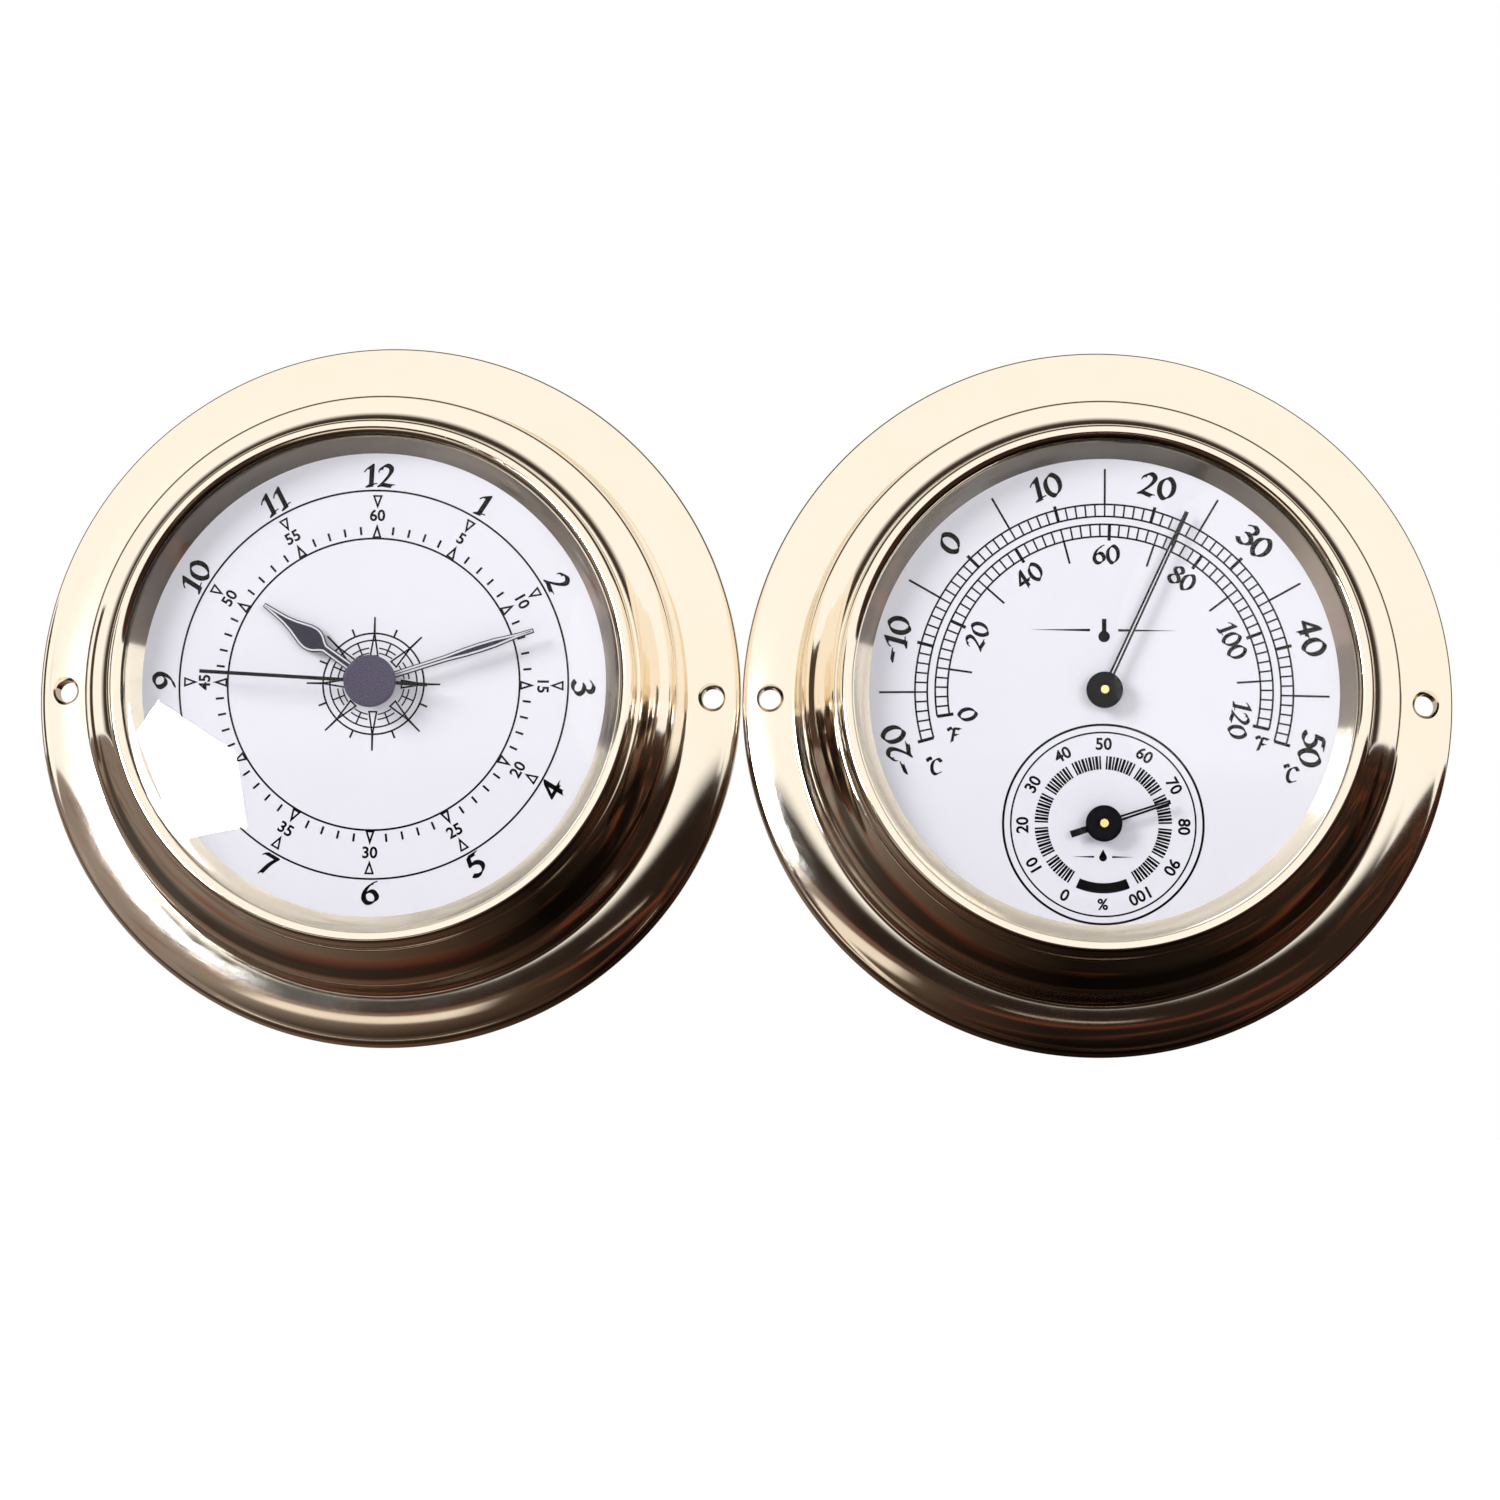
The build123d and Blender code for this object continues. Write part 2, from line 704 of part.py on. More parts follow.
# Movement rear cover: closes the gear room and leaves the battery bay open
rear_bearings = (rotor_at, intermediate_at)
with BuildPart() as rear_cover:
    add_square(movement_half, movement_corner, rear_face, housing_rim)
    add_block(-movement_half, movement_half, -movement_half, bay_top, rear_face, housing_rim, Mode.SUBTRACT)
    for at in rear_bearings:
        add_disc(pivot_radius + boss_wall, housing_rim, housing_rim + rear_bearing_height, at)
        add_disc(
            pivot_radius + running_gap, housing_rim, housing_rim + rear_bearing_height, at, mode=Mode.SUBTRACT
        )
    add_disc(knob_shaft_radius + running_gap, rear_face, housing_rim, knob_at, mode=Mode.SUBTRACT)
rear_cover.part.label = "movement_rear_cover"
export_step(rear_cover.part, "parts/movement_rear_cover.step")

# Mid plate: carries the wheels' rear pivots, and the motor and circuit board on posts behind it
core_centre = stator_top - core_width / 2
stator_posts = [(stator_left + core_width / 2, core_centre), (stator_right - core_width / 2, core_centre)]
board_posts = [
    (board_left + core_width / 2, board_low + core_width / 2),
    (board_left + board_width - core_width / 2, board_low + board_length - core_width / 2),
]
plate_half = cavity_half - battery_bay_gap
plate_bottom = gear_room_low + battery_bay_gap
stator_face = stator_height + stator_thickness
with BuildPart() as mid_plate:
    with BuildSketch(front(mid_plate_low)) as plate:
        RectangleRounded(2 * plate_half, 2 * plate_half, cavity_corner)
        with Locations((0, plate_bottom - plate_half)):
            Rectangle(movement_width, 2 * plate_half, mode=Mode.SUBTRACT)
    extrude(amount=mid_plate_thickness)
    for at in (hub_at, third_at, rotor_at, intermediate_at):
        add_disc(pivot_radius + running_gap, mid_plate_low, mid_plate_top, at, mode=Mode.SUBTRACT)
    add_disc(knob_shaft_radius + running_gap, mid_plate_low, mid_plate_top, knob_at, mode=Mode.SUBTRACT)
    for at in stator_posts + board_posts:
        add_disc(post_radius, stator_face, mid_plate_low, at)
        add_disc(stud_radius, stator_height - loose_gap, stator_face, at)
mid_plate.part.label = "movement_mid_plate"
export_step(mid_plate.part, "parts/movement_mid_plate.step")

# Adhesive foam pad between the movement and the dial
with BuildPart() as foam_pad:
    add_square(pad_half, pad_corner, housing_front, dial_back)
    add_disc(pad_hole_radius, housing_front, dial_back, mode=Mode.SUBTRACT)
foam_pad.part.label = "movement_foam_pad"
export_step(foam_pad.part, "parts/movement_foam_pad.step")

# AA cell, lying in the bay with its nub to the right
battery_plane = Plane(origin=(battery_left, -battery_height, battery_z), x_dir=(0, 0, 1), z_dir=(1, 0, 0))
with BuildPart() as battery:
    with BuildSketch(battery_plane):
        Circle(battery_radius)
    extrude(amount=battery_length)
    fillet(battery.edges().filter_by(GeomType.CIRCLE), battery_round)
    with BuildSketch(battery_plane.offset(battery_length)):
        Circle(battery_nub_radius)
    extrude(amount=battery_nub_length)
battery.part.label = "aa_battery"
export_step(battery.part, "parts/aa_battery.step")

# Battery contacts: a flat strip at the nub and a bent leaf at the flat end
contact_low = battery_height - contact_width / 2
contact_high = battery_height + contact_width / 2
contact_inner = cavity_half - contact_thickness
with BuildPart() as positive_contact:
    add_block(
        contact_inner,
        cavity_half,
        battery_z - contact_width / 2,
        battery_z + contact_width / 2,
        contact_low,
        contact_high,
    )
positive_contact.part.label = "battery_positive_contact"
export_step(positive_contact.part, "parts/battery_positive_contact.step")

with BuildPart() as negative_contact:
    add_block(
        -cavity_half,
        -contact_inner,
        battery_z - contact_width / 2,
        battery_z + contact_width / 2,
        contact_low,
        contact_high,
    )
    with BuildSketch(front(battery_height - contact_leaf_width / 2, (-contact_inner, battery_z))):
        Polygon(
            (0, -contact_leaf_rise),
            (leaf_reach, 0),
            (contact_thickness, contact_leaf_rise),
            (0, contact_leaf_rise),
            (leaf_reach - contact_thickness, 0),
            (0, contact_thickness - contact_leaf_rise),
            align=None,
        )
    extrude(amount=contact_leaf_width)
negative_contact.part.label = "battery_negative_contact"
export_step(negative_contact.part, "parts/battery_negative_contact.step")

# Stator: steel frame whose top bar is the coil's core and whose bottom bar holds the rotor
with BuildPart() as stator:
    add_block(stator_left, stator_right, stator_low, stator_top, stator_height, stator_face)
    add_block(
        stator_left + stator_leg_width,
        stator_right - stator_leg_width,
        stator_jaw_top,
        stator_top - core_width,
        stator_height,
        stator_face,
        Mode.SUBTRACT,
    )
    add_disc(magnet_radius + loose_gap, stator_height, stator_face, rotor_at, mode=Mode.SUBTRACT)
    add_disc(arbor_radius + arbor_room, stator_height, stator_face, intermediate_at, mode=Mode.SUBTRACT)
    for at in stator_posts:
        add_disc(stud_radius + running_gap, stator_height, stator_face, at, mode=Mode.SUBTRACT)
stator.part.label = "motor_stator"
export_step(stator.part, "parts/motor_stator.step")

# Coil: plastic bobbin round the core, with a copper winding between its flanges
coil_middle = (stator_left + stator_right) / 2
bobbin_left = coil_middle - bobbin_length / 2
bobbin_plane = Plane(
    origin=(bobbin_left, -motor_centre_height, core_centre), x_dir=(0, 0, 1), z_dir=(1, 0, 0)
)
core_room_width = core_width + 2 * seat_gap
core_room_height = stator_thickness + 2 * seat_gap
tube_width = core_room_width + 2 * bobbin_wall
tube_height = core_room_height + 2 * bobbin_wall
with BuildPart() as bobbin:
    with BuildSketch(bobbin_plane):
        Rectangle(tube_width, tube_height)
    extrude(amount=bobbin_length)
    for start in (0, bobbin_length - bobbin_flange):
        with BuildSketch(bobbin_plane.offset(start)):
            Rectangle(tube_width + 2 * bobbin_flange_rise, tube_height + 2 * bobbin_flange_rise)
        extrude(amount=bobbin_flange)
    with BuildSketch(bobbin_plane):
        Rectangle(core_room_width, core_room_height)
    extrude(amount=bobbin_length, mode=Mode.SUBTRACT)
bobbin.part.label = "coil_bobbin"
export_step(bobbin.part, "parts/coil_bobbin.step")

winding_rise = bobbin_flange_rise - 2 * running_gap
with BuildPart() as winding:
    with BuildSketch(bobbin_plane.offset(bobbin_flange)):
        RectangleRounded(tube_width + 2 * winding_rise, tube_height + 2 * winding_rise, winding_rise)
        Rectangle(tube_width, tube_height, mode=Mode.SUBTRACT)
    extrude(amount=bobbin_length - 2 * bobbin_flange)
winding.part.label = "coil_winding"
export_step(winding.part, "parts/coil_winding.step")

# Circuit board with its chip and crystal on the rear side
board_right = board_left + board_width
board_top = board_low + board_length
with BuildPart() as board:
    add_block(board_left, board_right, board_low, board_top, stator_height, stator_face)
    for at in board_posts:
        add_disc(stud_radius + running_gap, stator_height, stator_face, at, mode=Mode.SUBTRACT)
board.part.label = "circuit_board"
export_step(board.part, "parts/circuit_board.step")

chip_at = (board_left + board_width / 2 + chip_radius, board_low + board_length / 2 - chip_radius / 2)
with BuildPart() as chip:
    add_disc(chip_radius, stator_height - chip_height, stator_height, chip_at)
    fillet(chip.edges().group_by(Axis.Y)[-1], chip_height / 2)
chip.part.label = "timing_chip"
export_step(chip.part, "parts/timing_chip.step")

crystal_plane = Plane(
    origin=(board_left + 2 * crystal_radius, crystal_radius - stator_height, board_top - 2 * crystal_radius),
    x_dir=(0, 0, 1),
    z_dir=(1, 0, 0),
)
with BuildPart() as crystal:
    with BuildSketch(crystal_plane):
        Circle(crystal_radius)
    extrude(amount=crystal_length)
crystal.part.label = "quartz_crystal"
export_step(crystal.part, "parts/quartz_crystal.step")

# Rotor: ring magnet and pinion on one steel arbor
rear_pivot_low = housing_rim + 2 * running_gap
rear_boss_top = housing_rim + rear_bearing_height
rotor_pinion_low = intermediate_low - pinion_over
magnet_low = housing_rim + magnet_low_over
with BuildPart() as rotor:
    add_disc(pivot_radius, rear_pivot_low, rotor_pinion_low, rotor_at)
    add_disc(magnet_radius, magnet_low, magnet_low + magnet_height, rotor_at)
    rotor_phase = 0
    rotor_pinion_high = intermediate_low + wheel_thickness + pinion_over
    add_gear(rotor_teeth, rotor_module, rotor_phase, rotor_pinion_low, rotor_pinion_high, rotor_at)
rotor.part.label = "motor_rotor"
export_step(rotor.part, "parts/motor_rotor.step")

# Intermediate wheel, driven by the rotor, with the pinion that drives the second wheel
second_phase = 0
second_pinion_direction = intermediate_direction
intermediate_phase = meshed_phase(rotor_teeth, rotor_phase, rotor_direction + 180, intermediate_teeth)
intermediate_pinion_phase = meshed_phase(
    second_teeth, second_phase, intermediate_direction, intermediate_leaves
)
with BuildPart() as intermediate:
    add_disc(pivot_radius, rear_pivot_low, intermediate_low, intermediate_at)
    add_gear(
        intermediate_teeth,
        rotor_module,
        intermediate_phase,
        intermediate_low,
        intermediate_low + wheel_thickness,
        intermediate_at,
    )
    add_gear(
        intermediate_leaves,
        second_module,
        intermediate_pinion_phase,
        intermediate_low + wheel_thickness,
        second_low + wheel_thickness + pinion_over,
        intermediate_at,
    )
intermediate.part.label = "intermediate_wheel"
export_step(intermediate.part, "parts/intermediate_wheel.step")

# Second wheel: its long thin arbor runs through the cannon to the second hand
second_arbor_top = second_hand_low + hand_thickness + second_hub_height / 2
with BuildPart() as second_wheel:
    add_disc(pivot_radius, mid_plate_low, mid_plate_top, hub_at)
    add_disc(arbor_radius, mid_plate_top + running_gap, second_low, hub_at)
    add_disc(pivot_radius, mid_plate_top, mid_plate_top + running_gap, hub_at)
    add_gear(second_teeth, second_module, second_phase, second_low, second_low + wheel_thickness, hub_at)
    add_gear(
        second_leaves,
        third_module,
        second_phase,
        second_low + wheel_thickness,
        third_low + wheel_thickness + pinion_over,
        hub_at,
    )
    add_disc(second_arbor_radius, third_low + wheel_thickness + pinion_over, second_arbor_top, hub_at)
second_wheel.part.label = "second_wheel"
export_step(second_wheel.part, "parts/second_wheel.step")

# Third wheel, between the second wheel's pinion and the centre gear
third_phase = meshed_phase(second_leaves, second_phase, third_direction, third_teeth)
third_pinion_phase = 0
third_pinion_low = third_low + wheel_thickness
third_pinion_high = centre_low + wheel_thickness + pinion_over
with BuildPart() as third_wheel:
    add_disc(pivot_radius, mid_plate_low, mid_plate_top + running_gap, third_at)
    add_disc(arbor_radius, mid_plate_top + running_gap, third_low, third_at)
    add_gear(third_teeth, third_module, third_phase, third_low, third_pinion_low, third_at)
    add_gear(
        third_leaves, centre_module, third_pinion_phase, third_pinion_low, third_pinion_high, third_at
    )
    add_disc(arbor_radius, third_pinion_high, third_boss_low - running_gap, third_at)
    add_disc(pivot_radius, third_boss_low - running_gap, train_top - running_gap, third_at)
third_wheel.part.label = "third_wheel"
export_step(third_wheel.part, "parts/third_wheel.step")

# Centre gear: runs once an hour and slips on the cannon when the hands are set
centre_phase = meshed_phase(third_leaves, third_pinion_phase, third_direction + 180, centre_teeth)
with BuildPart() as centre_gear:
    add_gear(
        centre_teeth, centre_module, centre_phase, centre_low, centre_low + wheel_thickness, hub_at
    )
    add_disc(
        cannon_radius + running_gap, centre_low, centre_low + wheel_thickness, hub_at, mode=Mode.SUBTRACT
    )
centre_gear.part.label = "centre_gear"
export_step(centre_gear.part, "parts/centre_gear.step")

# Cannon: pipe with the centre gear's seat, the pinion of the motion work and the minute hand
cannon_flange_low = centre_low - running_gap - cannon_flange_thickness
cannon_pinion_low = minute_low - pinion_over
cannon_pinion_high = minute_low + wheel_thickness + pinion_over
cannon_top = minute_hand_low + hand_thickness + loose_gap
cannon_phase = 0
with BuildPart() as cannon:
    add_disc(cannon_flange_radius, cannon_flange_low, centre_low - running_gap)
    add_disc(cannon_radius, centre_low - running_gap, cannon_top)
    add_gear(cannon_teeth, minute_module, cannon_phase, cannon_pinion_low, cannon_pinion_high, hub_at)
    add_disc(second_arbor_radius + running_gap, cannon_flange_low, cannon_top, mode=Mode.SUBTRACT)
cannon.part.label = "minute_cannon"
export_step(cannon.part, "parts/minute_cannon.step")

# Clutch washer: presses the centre gear on the cannon's seat
clutch_low = centre_low + wheel_thickness + running_gap
with BuildPart() as clutch:
    add_disc(clutch_washer_radius, clutch_low, clutch_low + clutch_washer_thickness)
    add_disc(
        cannon_radius + running_gap, clutch_low, clutch_low + clutch_washer_thickness, mode=Mode.SUBTRACT
    )
clutch.part.label = "clutch_washer"
export_step(clutch.part, "parts/clutch_washer.step")

# Minute wheel, on the housing's stud, with the pinion that drives the hour wheel
minute_phase = meshed_phase(cannon_teeth, cannon_phase, minute_direction, minute_teeth)
minute_pinion_phase = 0
minute_wheel_top = minute_low + wheel_thickness
minute_pinion_high = hour_low + wheel_thickness + pinion_over
with BuildPart() as minute_wheel:
    add_gear(minute_teeth, minute_module, minute_phase, minute_low, minute_wheel_top, minute_at)
    add_gear(
        minute_leaves, hour_module, minute_pinion_phase, minute_wheel_top, minute_pinion_high, minute_at
    )
    add_disc(
        minute_stud_radius + running_gap, minute_low, minute_pinion_high, minute_at, mode=Mode.SUBTRACT
    )
minute_wheel.part.label = "minute_wheel"
export_step(minute_wheel.part, "parts/minute_wheel.step")

# Hour wheel: its pipe turns between the cannon and the housing's neck and carries the hour hand
hour_phase = meshed_phase(minute_leaves, minute_pinion_phase, minute_direction + 180, hour_teeth)
hour_pipe_top = hour_hand_low + hand_thickness + pinion_over
with BuildPart() as hour_wheel:
    add_gear(hour_teeth, hour_module, hour_phase, hour_low, hour_low + wheel_thickness, hub_at)
    add_disc(hour_pipe_radius, hour_low, hour_pipe_top)
    add_disc(cannon_radius + running_gap, hour_low, hour_pipe_top, mode=Mode.SUBTRACT)
hour_wheel.part.label = "hour_wheel"
export_step(hour_wheel.part, "parts/hour_wheel.step")

# Setting knob: a head behind the movement and a pinion on the minute wheel
knob_phase = meshed_phase(minute_teeth, minute_phase, knob_direction, knob_teeth)
knob_head_top = rear_face - knob_head_gap
knob_head_low = knob_head_top - knob_head_height
with BuildPart() as knob:
    add_disc(knob_head_radius, knob_head_low, knob_head_top, knob_at)
    with BuildSketch(front(knob_head_low, knob_at)):
        with PolarLocations(knob_head_radius, knob_grip_count):
            Circle(knob_grip_radius)
    extrude(amount=knob_head_height, mode=Mode.SUBTRACT)
    add_disc(knob_shaft_radius, knob_head_top, minute_low, knob_at)
    add_gear(knob_teeth, minute_module, knob_phase, minute_low, minute_wheel_top, knob_at)
    add_disc(arbor_radius, minute_wheel_top, knob_boss_low - running_gap, knob_at)
    add_disc(pivot_radius, knob_boss_low - running_gap, train_top - running_gap, knob_at)
knob.part.label = "setting_knob"
export_step(knob.part, "parts/setting_knob.step")


def hand_plane(height, turn, at=(0, 0), x=0):
    """Plane at a height whose x runs along a hand that is turned clockwise from the top."""
    angle = math.radians(turn)
    return Plane(
        origin=(x + at[0], -height, at[1]), x_dir=(math.sin(angle), 0, math.cos(angle)), z_dir=(0, -1, 0)
    )


def filled(start, end):
    """Point midway along one side of a leaf, where it has made most of its change of width."""
    return ((start[0] + end[0]) / 2, start[1] + leaf_fullness_share * (end[1] - start[1]))


def add_leaf_hand(plane, length, neck_width, leaf_width, start_share, widest_share, hole_radius):
    """Flat hand with a round boss, a narrow neck and a leaf that runs out to a fine tip."""
    start = (start_share * length, neck_width / 2)
    widest = (widest_share * length, leaf_width / 2)
    tip = (length, hand_tip_width / 2)
    with BuildSketch(plane) as hand:
        with BuildLine():
            Line((0, neck_width / 2), start)
            ThreePointArc(start, filled(start, widest), widest)
            ThreePointArc(widest, filled(widest, tip), tip)
            Line(tip, (length, 0))
            Line((0, 0), (0, neck_width / 2))
            mirror(about=Plane.XZ)
        make_face()
        Circle(hand_boss_radius)
        Circle(hole_radius, mode=Mode.SUBTRACT)
    extrude(hand.sketch, amount=hand_thickness)


with BuildPart() as hour_hand:
    add_leaf_hand(
        hand_plane(hour_hand_low, hour_hand_turn),
        hour_hand_length,
        hour_neck_width,
        hour_leaf_width,
        hour_leaf_start_share,
        hour_leaf_widest_share,
        hour_pipe_radius,
    )
hour_hand.part.label = "hour_hand"
export_step(hour_hand.part, "parts/hour_hand.step")

with BuildPart() as minute_hand:
    add_leaf_hand(
        hand_plane(minute_hand_low, minute_hand_turn),
        minute_hand_length,
        minute_neck_width,
        minute_leaf_width,
        minute_leaf_start_share,
        minute_leaf_widest_share,
        cannon_radius,
    )
minute_hand.part.label = "minute_hand"
export_step(minute_hand.part, "parts/minute_hand.step")

# Second hand: a straight needle with a tail, pressed on the arbor under its round hub
with BuildPart() as second_hand:
    with BuildSketch(hand_plane(second_hand_low, second_hand_turn)):
        with Locations(((second_hand_length - second_hand_tail) / 2, 0)):
            Rectangle(second_hand_length + second_hand_tail, second_hand_width)
        Circle(cannon_radius)
        Circle(second_arbor_radius, mode=Mode.SUBTRACT)
    extrude(amount=hand_thickness)
second_hand.part.label = "second_hand"
export_step(second_hand.part, "parts/second_hand.step")

second_hub_low = second_hand_low + hand_thickness
with BuildPart() as second_hub:
    add_disc(second_hub_radius, second_hub_low, second_hub_low + second_hub_height)
    fillet(second_hub.edges().group_by(Axis.Y)[0], second_hub_round)
    add_disc(second_arbor_radius, second_hub_low, second_arbor_top, mode=Mode.SUBTRACT)
second_hub.part.label = "second_hand_hub"
export_step(second_hub.part, "parts/second_hand_hub.step")


def coil_arcs(step, half_turns, side_offset):
    """Centre, radius and start angle of each half turn of a flat coil's inner or outer side."""
    arcs = []
    for turn in range(half_turns):
        centre = (step * (turn % 2), 0)
        arcs.append((centre, coil_start_radius + turn * step + side_offset, 180 * (turn % 2)))
    return arcs


def make_bracket(name, z, coil_reach, side_room, width):
    """Bent steel frame behind the dial, with the rear pivot hole in its back bar."""
    half_span = coil_reach + side_room
    with BuildPart() as bracket:
        with BuildSketch(section((0, z), weather_x)):
            with Locations((0, dial_back - bracket_depth / 2)):
                Rectangle(2 * half_span, bracket_depth)
                Rectangle(
                    2 * half_span - 2 * bracket_thickness,
                    bracket_depth - 2 * bracket_thickness,
                    mode=Mode.SUBTRACT,
                )
        extrude(amount=width / 2, both=True)
        rear_bar_top = bracket_rear_height + bracket_thickness
        add_disc(
            pivot_radius + running_gap, bracket_rear_height, rear_bar_top, (0, z), weather_x, Mode.SUBTRACT
        )
        add_disc(
            bush_barrel_radius + running_gap,
            dial_back - bracket_thickness,
            dial_back,
            (0, z),
            weather_x,
            Mode.SUBTRACT,
        )
    bracket.part.label = f"{name}_bracket"
    export_step(bracket.part, f"parts/{name}_bracket.step")


def make_bush(name, z):
    """Brass eyelet that clamps the bracket to the dial and guides the arbor."""
    base_low = dial_back - bracket_thickness
    flange_top = dial_height + bush_flange_height
    with BuildPart() as bush:
        add_disc(bush_flange_radius, dial_height, flange_top, (0, z), weather_x)
        add_disc(bush_barrel_radius, base_low, dial_height, (0, z), weather_x)
        add_disc(bush_flange_radius, base_low - bush_flange_height, base_low, (0, z), weather_x)
        add_disc(
            second_arbor_radius + running_gap,
            base_low - bush_flange_height,
            flange_top,
            (0, z),
            weather_x,
            Mode.SUBTRACT,
        )
    bush.part.label = f"{name}_bush"
    export_step(bush.part, f"parts/{name}_bush.step")


def make_coil(name, z, step, half_turns):
    """Flat coil of strip that winds up or unwinds with the air, as half turns about two centres."""
    last = half_turns - 1
    end_x = step * (last % 2) + (coil_start_radius + last * step) * (1 if half_turns % 2 == 0 else -1)
    with BuildPart() as coil:
        with BuildSketch(front(coil_low, (0, z), weather_x)):
            with BuildLine():
                for side_offset in (-strip_thickness / 2, strip_thickness / 2):
                    for centre, radius, start_angle in coil_arcs(step, half_turns, side_offset):
                        CenterArc(centre, radius, start_angle, 180)
                for end in (coil_start_radius, end_x):
                    Line((end - strip_thickness / 2, 0), (end + strip_thickness / 2, 0))
            make_face()
        extrude(amount=strip_width)
    coil.part.label = f"{name}_coil"
    export_step(coil.part, f"parts/{name}_coil.step")
    with BuildPart() as stud:
        stud_at = (end_x, z - coil_stud_radius - seat_gap)
        stud_top = coil_low + strip_width + loose_gap
        add_disc(coil_stud_radius, bracket_rear_height + bracket_thickness, stud_top, stud_at, weather_x)
    stud.part.label = f"{name}_coil_stud"
    export_step(stud.part, f"parts/{name}_coil_stud.step")


def make_arbor(name, z):
    """Steel arbor with the collet that the coil is clamped to and a brass pin at its front end."""
    at = (0, z)
    collet_radius = coil_start_radius - strip_thickness / 2 - coil_collet_gap
    collet_low = coil_low - coil_collet_over
    rear_bar_top = bracket_rear_height + bracket_thickness
    pin_top = pointer_hub_low + pointer_hub_height + pointer_pin_rise
    with BuildPart() as arbor:
        add_disc(pivot_radius, bracket_rear_height, rear_bar_top + running_gap, at, weather_x)
        add_disc(second_arbor_radius, rear_bar_top + running_gap, pointer_hub_low, at, weather_x)
        add_disc(collet_radius, collet_low, coil_low + strip_width + coil_collet_over, at, weather_x)
        add_disc(pointer_pin_radius, pointer_hub_low, pin_top, at, weather_x)
    arbor.part.label = f"{name}_arbor"
    export_step(arbor.part, f"parts/{name}_arbor.step")


def make_pointer(name, z, length, tail, turn):
    """Thin black pointer and the round hub that is pressed on over it."""
    at = (0, z)
    with BuildPart() as pointer:
        with BuildSketch(hand_plane(pointer_low, turn, at, weather_x)):
            Polygon(
                (0, -pointer_root_width / 2),
                (length, -pointer_tip_width / 2),
                (length, pointer_tip_width / 2),
                (0, pointer_root_width / 2),
                (-tail, tail_end_width / 2),
                (-tail, -tail_end_width / 2),
                align=None,
            )
            Circle(bush_barrel_radius)
            Circle(second_arbor_radius, mode=Mode.SUBTRACT)
        extrude(amount=pointer_thickness)
    pointer.part.label = f"{name}_pointer"
    export_step(pointer.part, f"parts/{name}_pointer.step")
    with BuildPart() as hub:
        hub_top = pointer_hub_low + pointer_hub_height
        add_disc(pointer_hub_radius, pointer_hub_low, hub_top, at, weather_x)
        fillet(hub.edges().group_by(Axis.Y)[0], pointer_hub_round)
        add_disc(pointer_pin_radius, pointer_hub_low, hub_top, at, weather_x, Mode.SUBTRACT)
    hub.part.label = f"{name}_pointer_hub"
    export_step(hub.part, f"parts/{name}_pointer_hub.step")


for name, work in works.items():
    coil_step = work["coil_step_share"] * ring_foot_radius
    coil_reach = coil_start_radius + work["half_turns"] * coil_step
    pointer_length = work["length_share"] * ring_foot_radius
    pointer_tail = work["tail_share"] * ring_foot_radius
    make_bracket(name, work["z"], coil_reach, work["side_room"], work["width"])
    make_bush(name, work["z"])
    make_coil(name, work["z"], coil_step, work["half_turns"])
    make_arbor(name, work["z"])
    make_pointer(name, work["z"], pointer_length, pointer_tail, work["turn"])
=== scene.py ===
import json
import math

import bpy
from mathutils import Matrix, Vector

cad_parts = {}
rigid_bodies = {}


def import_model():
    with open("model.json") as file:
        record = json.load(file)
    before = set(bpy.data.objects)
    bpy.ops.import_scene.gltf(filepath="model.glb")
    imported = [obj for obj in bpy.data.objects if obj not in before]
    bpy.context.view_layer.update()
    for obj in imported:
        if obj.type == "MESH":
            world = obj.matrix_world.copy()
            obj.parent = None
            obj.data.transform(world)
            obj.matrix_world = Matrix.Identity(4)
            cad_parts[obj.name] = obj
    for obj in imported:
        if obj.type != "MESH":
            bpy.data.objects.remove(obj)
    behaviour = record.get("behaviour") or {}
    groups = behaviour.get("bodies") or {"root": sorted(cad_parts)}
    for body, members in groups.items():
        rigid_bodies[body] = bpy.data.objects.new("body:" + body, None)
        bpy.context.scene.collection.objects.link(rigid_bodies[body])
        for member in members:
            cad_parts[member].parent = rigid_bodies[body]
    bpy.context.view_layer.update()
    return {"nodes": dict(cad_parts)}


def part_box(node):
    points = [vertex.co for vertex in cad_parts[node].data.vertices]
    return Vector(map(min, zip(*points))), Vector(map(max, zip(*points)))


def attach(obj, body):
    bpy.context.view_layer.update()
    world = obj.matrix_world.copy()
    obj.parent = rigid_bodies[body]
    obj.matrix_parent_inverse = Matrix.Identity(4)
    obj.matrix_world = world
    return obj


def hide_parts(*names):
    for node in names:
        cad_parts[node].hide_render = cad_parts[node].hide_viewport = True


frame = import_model()

# Cases
# The two round cases are brass castings, turned on a lathe to a low flange, a tapering drum and a round
# shoulder, then polished and lacquered. Two screws through the flange, at three and nine o'clock, hold each
# to the wall, and three posts inside take the screws of the back cover. Sizes are in millimetres.
MM = 0.001
CLOCK = (0.0, 0.0)
WEATHER = (115.3, 0.0)
AROUND = 300
CREASE = math.radians(28)
WALL_SCREW_RING = 53.0
POST_RING = 43.6
POST_RADIUS = 3.0
POST_LENGTH = 8.8
POST_MIDDLE = 6.6
POST_WALL = 1.95
POST_HOLE_DEPTH = 7.4


def deselect():
    """Leaves edit mode and selects nothing."""
    if bpy.context.object and bpy.context.object.mode != "OBJECT":
        bpy.ops.object.mode_set(mode="OBJECT")
    bpy.ops.object.select_all(action="DESELECT")


def pick(piece):
    """Makes a piece the active one and the only one selected."""
    deselect()
    piece.select_set(True)
    bpy.context.view_layer.objects.active = piece


def spot(centre, across, up, height):
    """The point, in metres, at millimetres across and up from an axis and at a height off the wall."""
    return Vector(((centre[0] + across) * MM, -height * MM, (centre[1] + up) * MM))


